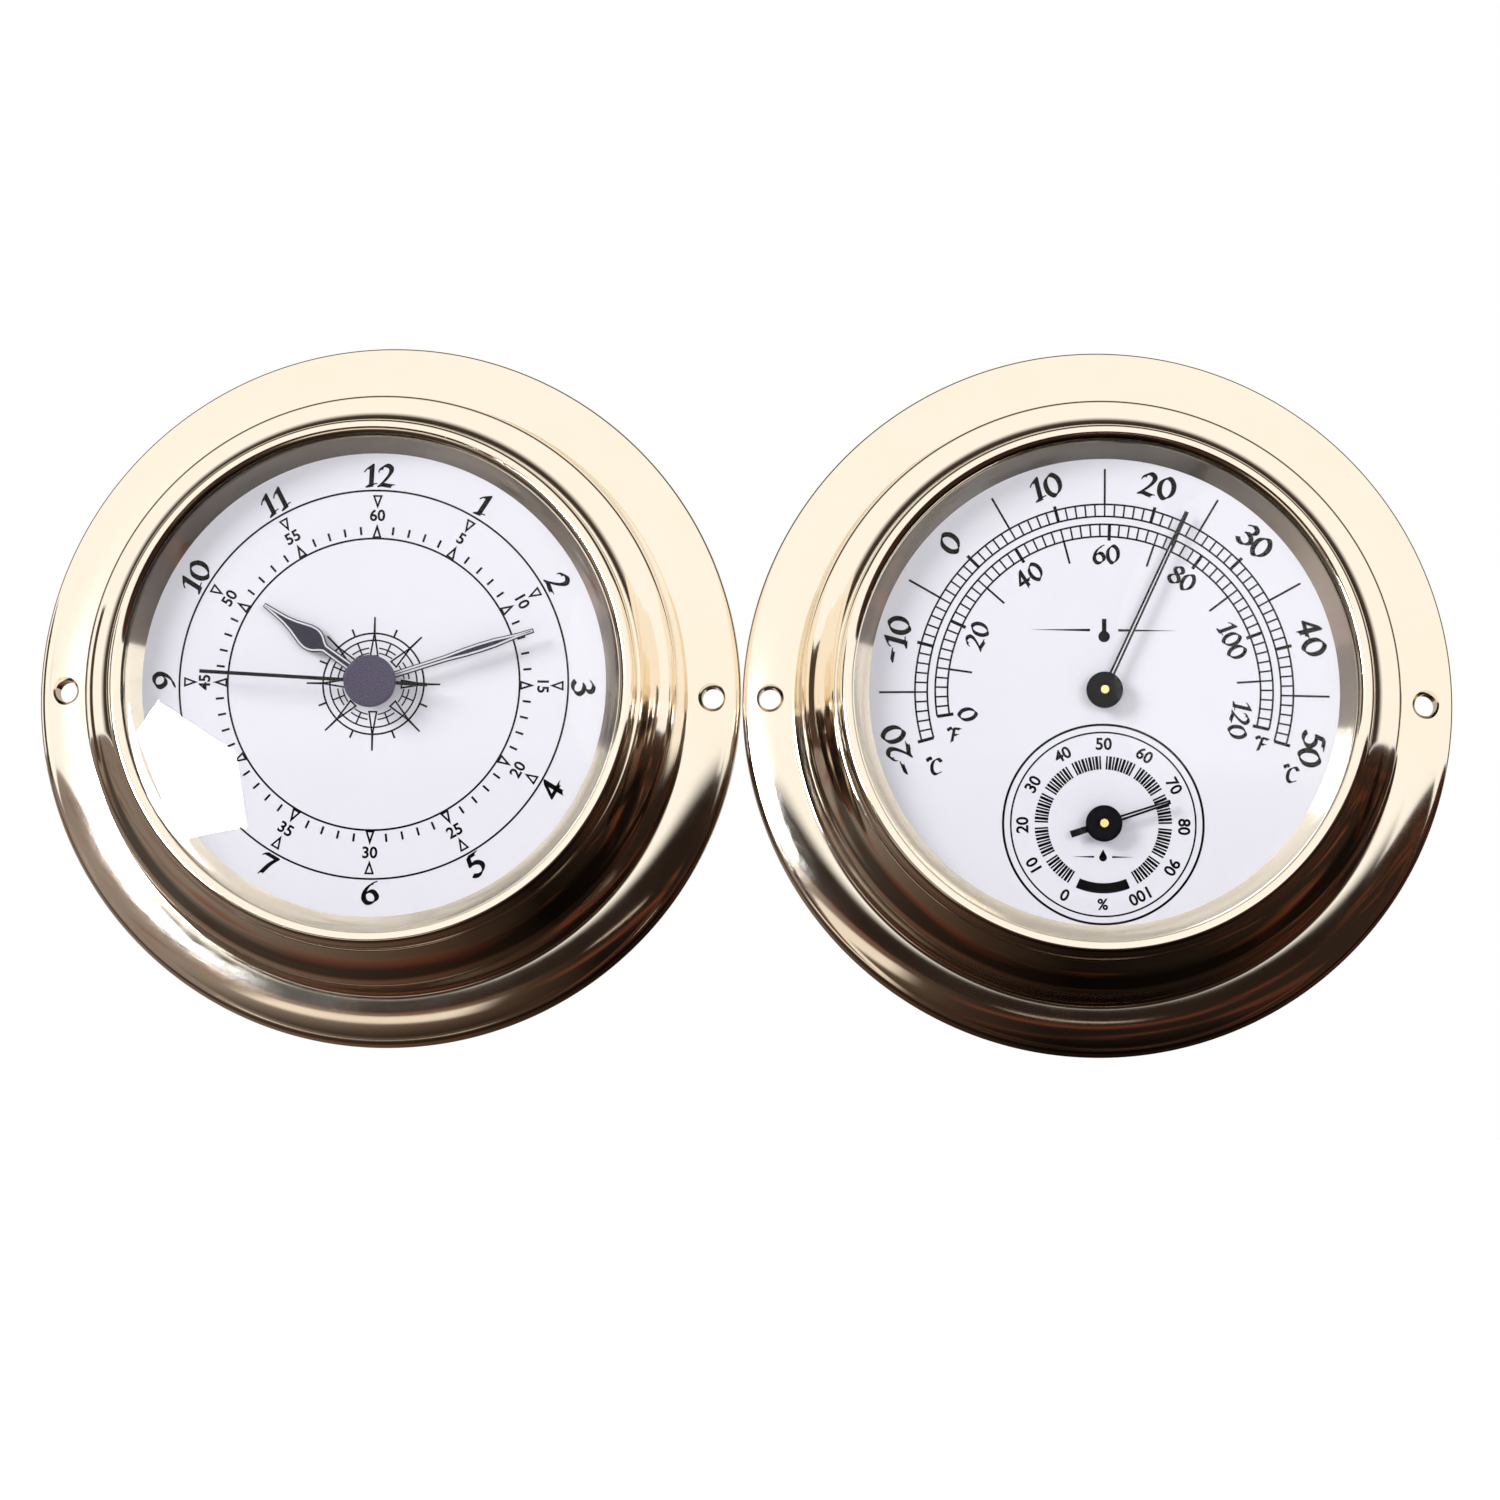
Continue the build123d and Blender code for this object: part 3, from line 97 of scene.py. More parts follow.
def pen(points):
    """In edit mode, draws a chain of edges through points and leaves its last point selected."""
    bpy.ops.mesh.select_mode(type="VERT")
    bpy.ops.mesh.select_all(action="DESELECT")
    bpy.ops.mesh.primitive_plane_add(size=MM, location=points[0])
    bpy.ops.mesh.merge(type="CENTER")
    for near, far in zip(points, points[1:]):
        bpy.ops.mesh.extrude_region_move(TRANSFORM_OT_translate={"value": far - near})


def blank(name):
    """A new piece with nothing in its mesh yet, open in edit mode."""
    deselect()
    bpy.ops.mesh.primitive_plane_add(size=MM)
    piece = bpy.context.object
    piece.name = name
    bpy.ops.object.mode_set(mode="EDIT")
    bpy.ops.mesh.delete(type="VERT")
    return piece


def bowed(start, end, share, parts=12):
    """Points on a bow from start to end that swells to the right of its run by a share of its length."""
    along = Vector(end) - Vector(start)
    aside = Vector((along.y, -along.x)) * share
    points = []
    for k in range(1, parts + 1):
        t = k / parts
        points.append(tuple(Vector(start) + along * t + aside * (4 * t * (1 - t))))
    return points


def turned(name, profile, centre, around=AROUND):
    """Spins a closed profile of (radius, height) in millimetres round an instrument's axis."""
    piece = blank(name)
    pen([spot(centre, radius, 0, height) for radius, height in profile])
    bpy.ops.mesh.select_all(action="SELECT")
    bpy.ops.mesh.spin(steps=around, angle=math.tau, center=spot(centre, 0, 0, 0), axis=(0, 1, 0))
    bpy.ops.mesh.select_all(action="SELECT")
    bpy.ops.mesh.remove_doubles(threshold=0.004 * MM)
    bpy.ops.mesh.normals_make_consistent(inside=False)
    pick(piece)
    bpy.ops.object.shade_smooth_by_angle(angle=CREASE)
    return piece


def joined(name, pieces):
    """Joins pieces into the first of them, under a new name."""
    deselect()
    for piece in pieces:
        piece.select_set(True)
    bpy.context.view_layer.objects.active = pieces[0]
    bpy.ops.object.join()
    whole = bpy.context.object
    whole.name = name
    return whole


def choose(piece, wanted):
    """Opens a piece in edit mode with only the faces selected that wanted is true for."""
    pick(piece)
    bpy.ops.object.mode_set(mode="EDIT")
    bpy.ops.mesh.select_mode(type="FACE")
    bpy.ops.mesh.select_all(action="DESELECT")
    bpy.ops.object.mode_set(mode="OBJECT")
    for face in piece.data.polygons:
        face.select = wanted(face)
    bpy.ops.object.mode_set(mode="EDIT")


def srgb(code):
    """An sRGB hex colour as the linear values that nodes take."""
    parts = [int(code[k : k + 2], 16) / 255 for k in (1, 3, 5)]
    return (*[p / 12.92 if p <= 0.04045 else ((p + 0.055) / 1.055) ** 2.4 for p in parts], 1)


def node(tree, kind, inputs=None, **settings):
    """Adds a node with its settings, and gives each named input a value or a link from an output."""
    made = tree.nodes.new("ShaderNode" + kind)
    for name, value in settings.items():
        setattr(made, name, value)
    for name, value in (inputs or {}).items():
        if isinstance(value, bpy.types.NodeSocket):
            tree.links.new(value, made.inputs[name])
        else:
            made.inputs[name].default_value = value
    return made


def stock(name):
    """A new material, with its node tree emptied, and the point on the piece that its patterns read."""
    material = bpy.data.materials.new(name)
    material.use_nodes = True
    tree = material.node_tree
    tree.nodes.clear()
    return material, tree, node(tree, "TexCoord").outputs["Object"]


def lacquered_brass(name, centre):
    """Polished brass under clear lacquer: near a mirror, with hand smears and faint lathe lines.

    The lines are 0.25 mm apart. A wave texture repeats every 0.314 over its scale, in metres.
    """
    material, tree, place = stock(name)
    centred = node(tree, "Mapping", {"Vector": place,
                                     "Location": (-centre[0] * MM, 0, -centre[1] * MM)}).outputs[0]
    lathe = node(tree, "TexWave", {"Vector": centred, "Scale": 1256, "Distortion": 1.5, "Detail": 1},
                 wave_type="RINGS", rings_direction="Y")
    smear = node(tree, "TexNoise", {"Vector": centred, "Scale": 60, "Detail": 4, "Roughness": 0.6})
    tone = node(tree, "Mix", {0: smear.outputs["Fac"], 6: srgb("#FAF2E6"), 7: srgb("#F7ECDA")},
                data_type="RGBA")
    rough = node(tree, "MapRange", {"Value": smear.outputs["Fac"], "From Min": 0.3, "From Max": 0.75,
                                    "To Min": 0.05, "To Max": 0.11})
    lines = node(tree, "Bump", {"Height": lathe.outputs["Fac"], "Strength": 0.05, "Distance": 0.004 * MM})
    wall = node(tree, "BsdfPrincipled", {"Base Color": tone.outputs[2], "Metallic": 1.0,
                                         "Roughness": rough.outputs[0], "Normal": lines.outputs[0]})
    node(tree, "OutputMaterial", {"Surface": wall.outputs[0]})
    return material


def wear(piece, material):
    """Gives a new piece its one material."""
    piece.data.materials.clear()
    piece.data.materials.append(material)


case_profile = (
    [(46.4, 0), (57.2, 0), (57.5, 0.3), (57.5, 2.4)]
    + bowed((57.5, 2.4), (56.1, 3.8), 0.2071)
    + bowed((56.1, 3.8), (49.3, 4.8), 0.045, 16)
    + bowed((49.3, 4.8), (48.75, 5.4), -0.2071, 6)
    + [(47.6, 13.0)]
    + bowed((47.6, 13.0), (46.0, 15.8), 0.17)
    + bowed((46.0, 15.8), (42.4, 20.0), -0.075, 16)
    + bowed((42.4, 20.05), (42.15, 20.3), 0.2071, 4)
    + [(41.3, 20.3), (41.3, 22.2), (40.7, 22.2), (40.7, 19.1), (44.8, 14.6), (46.4, 11.8), (46.4, 0)]
)
# A straight hole for the wall screw, with a small countersink.
hole_profile = [(0, -1), (1.8, -1), (1.8, 3.75), (2.3, 4.35), (2.3, 6), (0, 6)]
brass = {}
for label, centre in (("clock", CLOCK), ("weather", WEATHER)):
    brass[label] = lacquered_brass(label + "_lacquered_brass", centre)
    case = turned(label + "_brass_case", case_profile, centre)
    drills = [turned("drill", hole_profile, (centre[0] + side * WALL_SCREW_RING, 0), around=48)
              for side in (-1, 1)]
    drill = joined("drill", drills)
    pick(case)
    cut = case.modifiers.new("screw_holes", "BOOLEAN")
    cut.object = drill
    cut.solver = "EXACT"
    bpy.ops.object.modifier_apply(modifier=cut.name)
    bpy.data.objects.remove(drill)
    posts = []
    for turn in (90, 210, 330):
        across, up = POST_RING * math.sin(math.radians(turn)), POST_RING * math.cos(math.radians(turn))
        deselect()
        bpy.ops.mesh.primitive_cylinder_add(vertices=40, radius=POST_RADIUS * MM, depth=POST_LENGTH * MM,
                                            location=spot(centre, across, up, POST_MIDDLE),
                                            rotation=(math.pi / 2, 0, 0))
        post = bpy.context.object
        bpy.ops.object.transform_apply(location=True, rotation=True, scale=True)
        choose(post, lambda face: face.normal.y > 0.9)
        bpy.ops.mesh.inset(thickness=POST_WALL * MM)
        bpy.ops.mesh.extrude_region_move(TRANSFORM_OT_translate={"value": (0, -POST_HOLE_DEPTH * MM, 0)})
        deselect()
        posts.append(post)
    case = joined(label + "_brass_case", [case] + posts)
    pick(case)
    bpy.ops.object.shade_smooth_by_angle(angle=CREASE)
    wear(case, brass[label])
    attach(case, "root")
    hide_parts(label + "_case")

# Back covers and their screws
# Each back cover is a moulded black plastic disc that closes the case. The clock's has a square window round
# the movement, the other's has rings of vents for the air. Three pan-head steel screws hold each to the
# posts.


def dress(material, *names):
    """Gives a material to the solids' own meshes of some nodes."""
    for name in names:
        for held in frame["nodes"][name].material_slots:
            held.material = material


def moulded(name, deep, pale, grain, rough, relief=0.02, sheen=0.0, metallic=0.0, shine=0.5):
    """A plain stock: its tone drifts between two near colours. Grain and relief are in millimetres."""
    material, tree, place = stock(name)
    drift = node(tree, "TexNoise", {"Vector": place, "Scale": 90, "Detail": 3})
    fine = node(tree, "TexNoise", {"Vector": place, "Scale": 1000 / grain, "Detail": 2})
    tone = node(tree, "Mix", {0: drift.outputs["Fac"], 6: srgb(deep), 7: srgb(pale)}, data_type="RGBA")
    gloss = node(tree, "MapRange", {"Value": fine.outputs["Fac"],
                                    "To Min": rough * 0.8, "To Max": rough * 1.2})
    skin = node(tree, "Bump", {"Height": fine.outputs["Fac"], "Strength": 0.4, "Distance": relief * MM})
    wall = node(tree, "BsdfPrincipled", {"Base Color": tone.outputs[2], "Metallic": metallic,
                                         "Sheen Weight": sheen, "Specular IOR Level": shine,
                                         "Roughness": gloss.outputs[0], "Normal": skin.outputs[0]})
    node(tree, "OutputMaterial", {"Surface": wall.outputs[0]})
    return material


# Black ABS moulded against a spark-eroded tool: matt, with a grain of 0.6 mm.
dress(moulded("black_abs_grained", "#17171A", "#222226", 0.6, 0.55, 0.06),
      "clock_back_cover", "weather_back_cover")
# Zinc-plated steel screws: bright grey with a faint grain.
dress(moulded("zinc_plated_steel", "#A9ABAE", "#C4C6C8", 0.3, 0.28, 0.01, metallic=1.0),
      "clock_cover_screws", "weather_cover_screws")

# Quartz movement
# A bought-in 56 mm clock movement in black plastic: rear cover, mid plate and front housing snap together
# round the gear train, coil and circuit board. It runs on one AA cell between two nickel-plated spring
# contacts.

# Black ABS moulded against a polished tool: satin.
dress(moulded("black_abs_smooth", "#141416", "#1F1F22", 0.4, 0.42, 0.02),
      "movement_front_housing", "movement_rear_cover", "movement_mid_plate")
# Die-cut foam, dull, with cells of 0.5 mm.
dress(moulded("closed_cell_foam", "#2B2B2D", "#3A3A3D", 0.5, 0.9, 0.12, sheen=0.3), "movement_foam_pad")
# Stamped spring strip under nickel plate: warm grey and glossy.
dress(moulded("nickel_plated_strip", "#B9B5A9", "#D2CEC2", 0.25, 0.22, 0.01, metallic=1.0),
      "battery_positive_contact", "battery_negative_contact")


def cell_jacket():
    """A plain AA cell: a printed plastic sleeve, mostly dark, and copper-coloured at one end."""
    material, tree, place = stock("battery_sleeve")
    low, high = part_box("aa_battery")
    along = node(tree, "SeparateXYZ", {0: place})
    share = node(tree, "MapRange", {"Value": along.outputs["X"], "From Min": low.x, "From Max": high.x})
    bands = node(tree, "ValToRGB", {0: share.outputs[0]})
    ramp = bands.color_ramp
    ramp.interpolation = "CONSTANT"
    ramp.elements[0].color = srgb("#C9C6BE")
    ramp.elements[1].position = 0.04
    ramp.elements[1].color = srgb("#23262B")
    for position, code in ((0.70, "#B9793E"), (0.955, "#C9C6BE")):
        ramp.elements.new(position).color = srgb(code)
    fine = node(tree, "TexNoise", {"Vector": place, "Scale": 900, "Detail": 2})
    skin = node(tree, "Bump", {"Height": fine.outputs["Fac"], "Strength": 0.2, "Distance": 0.01 * MM})
    wall = node(tree, "BsdfPrincipled", {"Base Color": bands.outputs[0], "Roughness": 0.3,
                                         "Normal": skin.outputs[0]})
    node(tree, "OutputMaterial", {"Surface": wall.outputs[0]})
    return material


dress(cell_jacket(), "aa_battery")
# Glass-fibre board under sprayed solder mask: green and half glossy.
dress(moulded("solder_mask_green", "#1E5B34", "#2C7343", 1.2, 0.38, 0.02), "circuit_board")
# The chip's moulded epoxy: black and satin.
dress(moulded("epoxy_chip_black", "#0F0F10", "#1A1A1B", 0.3, 0.5), "timing_chip")
# The crystal's can, deep drawn from plated steel: bright.
dress(moulded("drawn_steel_can", "#B4B6BA", "#CDCFD2", 0.3, 0.2, 0.01, metallic=1.0), "quartz_crystal")
# Moulded nylon without pigment: cream, with a soft shine.
dress(moulded("natural_nylon", "#E6E1D2", "#F0ECDF", 0.5, 0.45), "coil_bobbin")


def wound_copper():
    """Enamelled copper wire 0.06 mm thick, drawn as turns 0.2 mm apart so that they show."""
    material, tree, place = stock("enamelled_copper_wire")
    turns = node(tree, "TexWave", {"Vector": place, "Scale": 1570, "Distortion": 0.3},
                 wave_type="BANDS", bands_direction="X")
    # The turns' colour runs from dark in the grooves to light on the crowns: painted shade and painted
    # highlight.
    tone = node(tree, "Mix", {0: turns.outputs["Fac"], 6: srgb("#6B2F12"), 7: srgb("#C26A33")},
                data_type="RGBA")
    ribs = node(tree, "Bump", {"Height": turns.outputs["Fac"], "Strength": 0.6, "Distance": 0.05 * MM})
    wall = node(tree, "BsdfPrincipled", {"Base Color": tone.outputs[2], "Metallic": 1.0, "Roughness": 0.3,
                                         "Normal": ribs.outputs[0]})
    node(tree, "OutputMaterial", {"Surface": wall.outputs[0]})
    return material


dress(wound_copper(), "coil_winding")
# Stamped from rolled motor sheet, left bare: grey and dull.
dress(moulded("silicon_steel_sheet", "#8D8F92", "#A5A7AA", 0.4, 0.35, 0.01, metallic=1.0), "motor_stator")
# Sintered and ground ferrite: charcoal grey, half matt.
dress(moulded("ferrite_magnet", "#3A3A3E", "#4A4A4E", 0.3, 0.4), "motor_rotor")
# Gears moulded in acetal: white, smooth and a little waxy.
dress(moulded("white_acetal", "#E9E8E2", "#F3F2ED", 0.4, 0.35, 0.01),
      "intermediate_wheel", "second_wheel", "third_wheel", "centre_gear", "minute_cannon", "minute_wheel",
      "hour_wheel", "setting_knob")

# Thermometer and hygrometer works
# Pressed aluminium brackets hold turned brass bushes. A bimetal coil turns the thermometer's arbor, and a
# coil of metal-backed paper turns the hygrometer's. Each coil's outer end is pinned to a brass stud.

# Pressed from rolled aluminium: pale and satin.
dress(moulded("rolled_aluminium", "#C3C5C8", "#D6D8DA", 0.5, 0.33, 0.01, metallic=1.0),
      "thermometer_bracket", "humidity_bracket")
# Turned brass without lacquer: yellow and satin.
dress(moulded("machined_brass", "#D9BC7C", "#E4C98D", 0.3, 0.22, 0.01, metallic=1.0),
      "clutch_washer", "thermometer_bush", "thermometer_coil_stud", "thermometer_arbor",
      "humidity_bush", "humidity_coil_stud", "humidity_arbor")
# Two metals rolled into one strip: dull gold.
dress(moulded("bimetal_strip", "#A08A5E", "#B49C6C", 0.4, 0.3, 0.01, metallic=1.0), "thermometer_coil")
# Varnished paper strip: straw-coloured and matt.
dress(moulded("coated_paper_strip", "#B7A27B", "#C8B48E", 0.3, 0.6, 0.02), "humidity_coil")

# Spacer rings and gaskets
# A grey plastic tube behind each dial presses it forward against the case. A black rubber ring lies under the
# glass. Both are plain moulded rings, and hardly show once the instrument is closed.

# Grey ABS, moulded and left as it comes: half matt.
dress(moulded("grey_abs", "#8C8E90", "#9A9C9E", 0.5, 0.5), "clock_spacer_ring", "weather_spacer_ring")
# Moulded nitrile rubber: matt black.
dress(moulded("black_nitrile_rubber", "#121212", "#1E1E1E", 0.4, 0.7, 0.03),
      "clock_lens_gasket", "weather_lens_gasket")

# Dials
# Each dial is an aluminium disc sprayed with off-white enamel and screen printed in black. The print is a
# film of ink that stands 0.03 mm off the enamel, with its foot just inside it so that no gap shows.
HUMIDITY = (115.3, -20.9)
PRINT_FOOT = 19.99
INK = 0.04


def enamel():
    """Sprayed enamel, baked: nearly white with a cool cast, semi-gloss, with an orange peel of 1.5 mm."""
    material, tree, place = stock("sprayed_enamel_white")
    drift = node(tree, "TexNoise", {"Vector": place, "Scale": 25, "Detail": 2})
    peel = node(tree, "TexNoise", {"Vector": place, "Scale": 650, "Detail": 2})
    tone = node(tree, "Mix", {0: drift.outputs["Fac"], 6: srgb("#EDECF6"), 7: srgb("#F5F4FA")},
                data_type="RGBA")
    skin = node(tree, "Bump", {"Height": peel.outputs["Fac"], "Strength": 0.15, "Distance": 0.01 * MM})
    wall = node(tree, "BsdfPrincipled", {"Base Color": tone.outputs[2], "Roughness": 0.4,
                                         "Normal": skin.outputs[0]})
    node(tree, "OutputMaterial", {"Surface": wall.outputs[0]})
    return material


dress(enamel(), "clock_dial", "weather_dial")


def swung(points, angle):
    """Turns flat points clockwise about the dial's centre by an angle in degrees."""
    c, s = math.cos(math.radians(angle)), math.sin(math.radians(angle))
    return [(x * c + y * s, y * c - x * s) for x, y in points]


def marks(outlines, centre, hollow=0.0, count=1, step=0.0):
    """Flat marks of ink with the given outlines in millimetres, repeated round centre, count times in all."""
    piece = blank("marks")
    for outline in outlines:
        points = [spot(centre, x, y, PRINT_FOOT) for x, y in outline]
        pen(points + points[:1])
        bpy.ops.mesh.select_linked()
        bpy.ops.mesh.remove_doubles(threshold=0.001 * MM)
        bpy.ops.mesh.edge_face_add()
        if hollow:
            bpy.ops.mesh.inset(thickness=hollow * MM)
            bpy.ops.mesh.delete(type="FACE")
    bpy.ops.mesh.select_all(action="SELECT")
    if count > 1:
        bpy.ops.mesh.spin(steps=count - 1, dupli=True, angle=math.radians(step * (count - 1)),
                          center=spot(centre, 0, 0, 0), axis=(0, -1, 0))
    deselect()
    return piece


def bar(inner, outer, width, angle=0.0, outer_width=None):
    """The outline of a radial line of ink."""
    near, far = width / 2, (width if outer_width is None else outer_width) / 2
    return swung([(-near, inner), (near, inner), (far, outer), (-far, outer)], angle)


def circle(radius, width, centre, first=0.0, last=360.0):
    """A printed circle, or an arc of it from first to last, clockwise from twelve."""
    piece = blank("circle")
    ends = swung([(0, radius - width / 2), (0, radius + width / 2)], first)
    pen([spot(centre, x, y, PRINT_FOOT) for x, y in ends])
    bpy.ops.mesh.select_all(action="SELECT")
    bpy.ops.mesh.spin(steps=max(6, round((last - first) / 2)), angle=math.radians(last - first),
                      center=spot(centre, 0, 0, 0), axis=(0, -1, 0))
    bpy.ops.mesh.select_all(action="SELECT")
    bpy.ops.mesh.remove_doubles(threshold=0.001 * MM)
    deselect()
    return piece


# Numerals drawn as with a broad pen: the strokes of each, in a height of 1. The d is the degree sign.
STROKES = {
    "0": [[(0.33, 0.97), (0.1, 0.78), (0.05, 0.5), (0.12, 0.2), (0.33, 0.03), (0.55, 0.22), (0.62, 0.5),
           (0.55, 0.8), (0.33, 0.97)]],
    "1": [[(0.06, 0.72), (0.16, 0.86), (0.3, 0.98)], [(0.3, 0.98), (0.27, 0.04)],
          [(0.12, 0.02), (0.44, 0.08)]],
    "2": [[(0.08, 0.7), (0.14, 0.87), (0.32, 0.97), (0.5, 0.88), (0.52, 0.7), (0.4, 0.46), (0.2, 0.2),
           (0.04, 0.04)], [(0.04, 0.04), (0.2, 0.08), (0.4, 0.04), (0.6, 0.02)]],
    "3": [[(0.1, 0.86), (0.26, 0.97), (0.46, 0.9), (0.48, 0.72), (0.36, 0.58), (0.2, 0.54)],
          [(0.24, 0.56), (0.48, 0.48), (0.58, 0.28), (0.44, 0.06), (0.22, 0.02), (0.06, 0.12)]],
    "4": [[(0.42, 0.98), (0.04, 0.34)], [(0.04, 0.34), (0.7, 0.34)], [(0.42, 0.98), (0.42, -0.02)]],
    "5": [[(0.58, 0.96), (0.2, 0.94)], [(0.2, 0.94), (0.14, 0.56)],
          [(0.14, 0.56), (0.34, 0.6), (0.54, 0.48), (0.58, 0.26), (0.42, 0.06), (0.22, 0.02), (0.06, 0.1)]],
    "6": [[(0.54, 0.95), (0.32, 0.84), (0.14, 0.6), (0.07, 0.3), (0.16, 0.08), (0.34, 0.02), (0.54, 0.12),
           (0.6, 0.32), (0.46, 0.54), (0.26, 0.54), (0.1, 0.38)]],
    "7": [[(0.06, 0.84), (0.12, 0.95)], [(0.12, 0.93), (0.6, 0.93)],
          [(0.6, 0.93), (0.42, 0.56), (0.28, 0.0)]],
    "8": [[(0.33, 0.54), (0.12, 0.68), (0.12, 0.88), (0.33, 0.98), (0.52, 0.86), (0.5, 0.68), (0.33, 0.54),
           (0.1, 0.38), (0.06, 0.16), (0.33, 0.02), (0.58, 0.16), (0.56, 0.38), (0.33, 0.54)]],
    "9": [[(0.12, 0.05), (0.34, 0.16), (0.52, 0.4), (0.59, 0.7), (0.5, 0.92), (0.32, 0.98), (0.12, 0.88),
           (0.06, 0.68), (0.2, 0.46), (0.4, 0.46), (0.56, 0.62)]],
    "-": [[(0.06, 0.46), (0.5, 0.5)]],
    "d": [[(0.12, 0.97), (0.02, 0.87), (0.12, 0.77), (0.22, 0.87), (0.12, 0.97)]],
    "C": [[(0.6, 0.8), (0.36, 0.97), (0.12, 0.8), (0.05, 0.5), (0.14, 0.16), (0.36, 0.03), (0.6, 0.18)]],
    "F": [[(0.14, 0.98), (0.1, 0.0)], [(0.06, 0.92), (0.34, 0.97), (0.56, 0.94)],
          [(0.14, 0.52), (0.44, 0.54)]],
}
WIDTHS = {"0": 0.74, "1": 0.56, "2": 0.74, "3": 0.7, "4": 0.78, "5": 0.7, "6": 0.74, "7": 0.68, "8": 0.72,
          "9": 0.74, "-": 0.62, "d": 0.3, "C": 0.7, "F": 0.64}


def eased(points, parts=4):
    """Points on a smooth curve through the given ones."""
    if len(points) < 3:
        return points
    loop = points[0] == points[-1]
    before = points[-2] if loop else points[0]
    after = points[1] if loop else points[-1]
    run = [before] + points + [after]
    out = [points[0]]
    for k in range(1, len(run) - 2):
        a, b, c, d = (Vector(p) for p in run[k - 1 : k + 3])
        for n in range(1, parts + 1):
            t = n / parts
            out.append(tuple(0.5 * (2 * b + (c - a) * t + (2 * a - 5 * b + 4 * c - d) * t * t
                                    + (3 * b - a - 3 * c + d) * t ** 3)))
    return out


def penned(character, nib=0.2, thick=0.06, slope=38):
    """One numeral 1 mm high: each stroke is a chain of edges, swept along and across a broad nib's edge."""
    piece = blank("numeral_" + character)
    c, s = math.cos(math.radians(slope)), math.sin(math.radians(slope))
    along, across = Vector((nib * c, 0, nib * s)) * MM, Vector((thick * s, 0, -thick * c)) * MM
    for stroke in STROKES[character]:
        for offset, sweep in ((Vector(), along), (Vector(), across), (along, across)):
            pen([Vector((x * MM, 0, y * MM)) + offset for x, y in eased(stroke)])
            bpy.ops.mesh.select_linked()
            bpy.ops.mesh.extrude_region_move(TRANSFORM_OT_translate={"value": sweep})
    bpy.ops.mesh.select_all(action="SELECT")
    bpy.ops.mesh.edge_split(type="EDGE")
    deselect()
    return piece


masters = {character: penned(character) for character in STROKES}


def numeral(text, centre, radius, angle, height, upside=False, squeeze=1.0, lean=None):
    """Copies of the penned numerals, with their tops outward, inward if upside, or at a lean."""
    wide = sum(WIDTHS[c] for c in text) * height * squeeze
    left = -wide / 2
    made = []
    turn = Matrix.Rotation(math.radians(angle + (180 if upside else 0) if lean is None else lean), 4, "Y")
    x, y = swung([(0, radius)], angle)[0]
    for c in text:
        copy = masters[c].copy()
        copy.data = masters[c].data.copy()
        bpy.context.collection.objects.link(copy)
        copy.data.transform(Matrix.Translation(spot(centre, x, y, PRINT_FOOT)) @ turn
                            @ Matrix.Translation((left * MM, 0, -height / 2 * MM))
                            @ Matrix.Diagonal((height * squeeze, 1, height, 1)))
        left += WIDTHS[c] * height * squeeze
        made.append(copy)
    return made


def plain_text(text, centre, radius, angle, size, upside=False):
    """Small figures, set from Blender's own plain letters and made a little bolder."""
    x, y = swung([(0, radius)], angle)[0]
    deselect()
    bpy.ops.object.text_add(location=spot(centre, x, y, PRINT_FOOT),
                            rotation=(math.pi / 2, math.radians(angle + (180 if upside else 0)), 0))
    piece = bpy.context.object
    piece.data.body = text
    piece.data.size = size * MM
    piece.data.align_x = "CENTER"
    piece.data.align_y = "CENTER"
    piece.data.resolution_u = 4
    piece.data.offset = 0.06 * MM
    bpy.ops.object.convert(target="MESH")
    piece = bpy.context.object
    bpy.ops.object.transform_apply(location=True, rotation=True, scale=True)
    return piece


# Screen ink: dense matt black that hardly shines.
ink = moulded("screen_ink_black", "#050506", "#0C0C0E", 0.25, 0.6, 0.004, shine=0.08)


def printed(name, pieces):
    """Joins flat marks, gives them the thickness of the ink, and lays them on the dial."""
    piece = joined(name, pieces)
    bpy.ops.object.mode_set(mode="EDIT")
    bpy.ops.mesh.select_all(action="SELECT")
    bpy.ops.mesh.extrude_region_move(TRANSFORM_OT_translate={"value": (0, -INK * MM, 0)})
    bpy.ops.mesh.select_all(action="SELECT")
    bpy.ops.mesh.normals_make_consistent(inside=False)
    deselect()
    wear(piece, ink)
    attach(piece, "root")


# Two circles with the minute strokes and a triangle at each hour, and the two circles of the compass rose.
MINUTE_TRACK, HOUR_TRACK = 23.14, 30.83
ROSE_OUTER, ROSE_INNER = 8.0, 6.9
clock_print = [circle(MINUTE_TRACK, 0.3, CLOCK), circle(HOUR_TRACK, 0.3, CLOCK),
               circle(ROSE_OUTER, 0.28, CLOCK), circle(ROSE_INNER, 0.24, CLOCK)]
clock_print.append(marks([bar(23.8, 25.1, 0.34, k * 6) for k in (1, 2, 3, 4)], CLOCK, count=12, step=30))
clock_print.append(marks([[(-0.75, 23.2), (0.75, 23.2), (0, 25.5)]], CLOCK, hollow=0.3, count=12, step=30))
clock_print.append(marks([[(-0.8, 30.1), (0.8, 30.1), (0, 27.9)]], CLOCK, hollow=0.28, count=12, step=30))
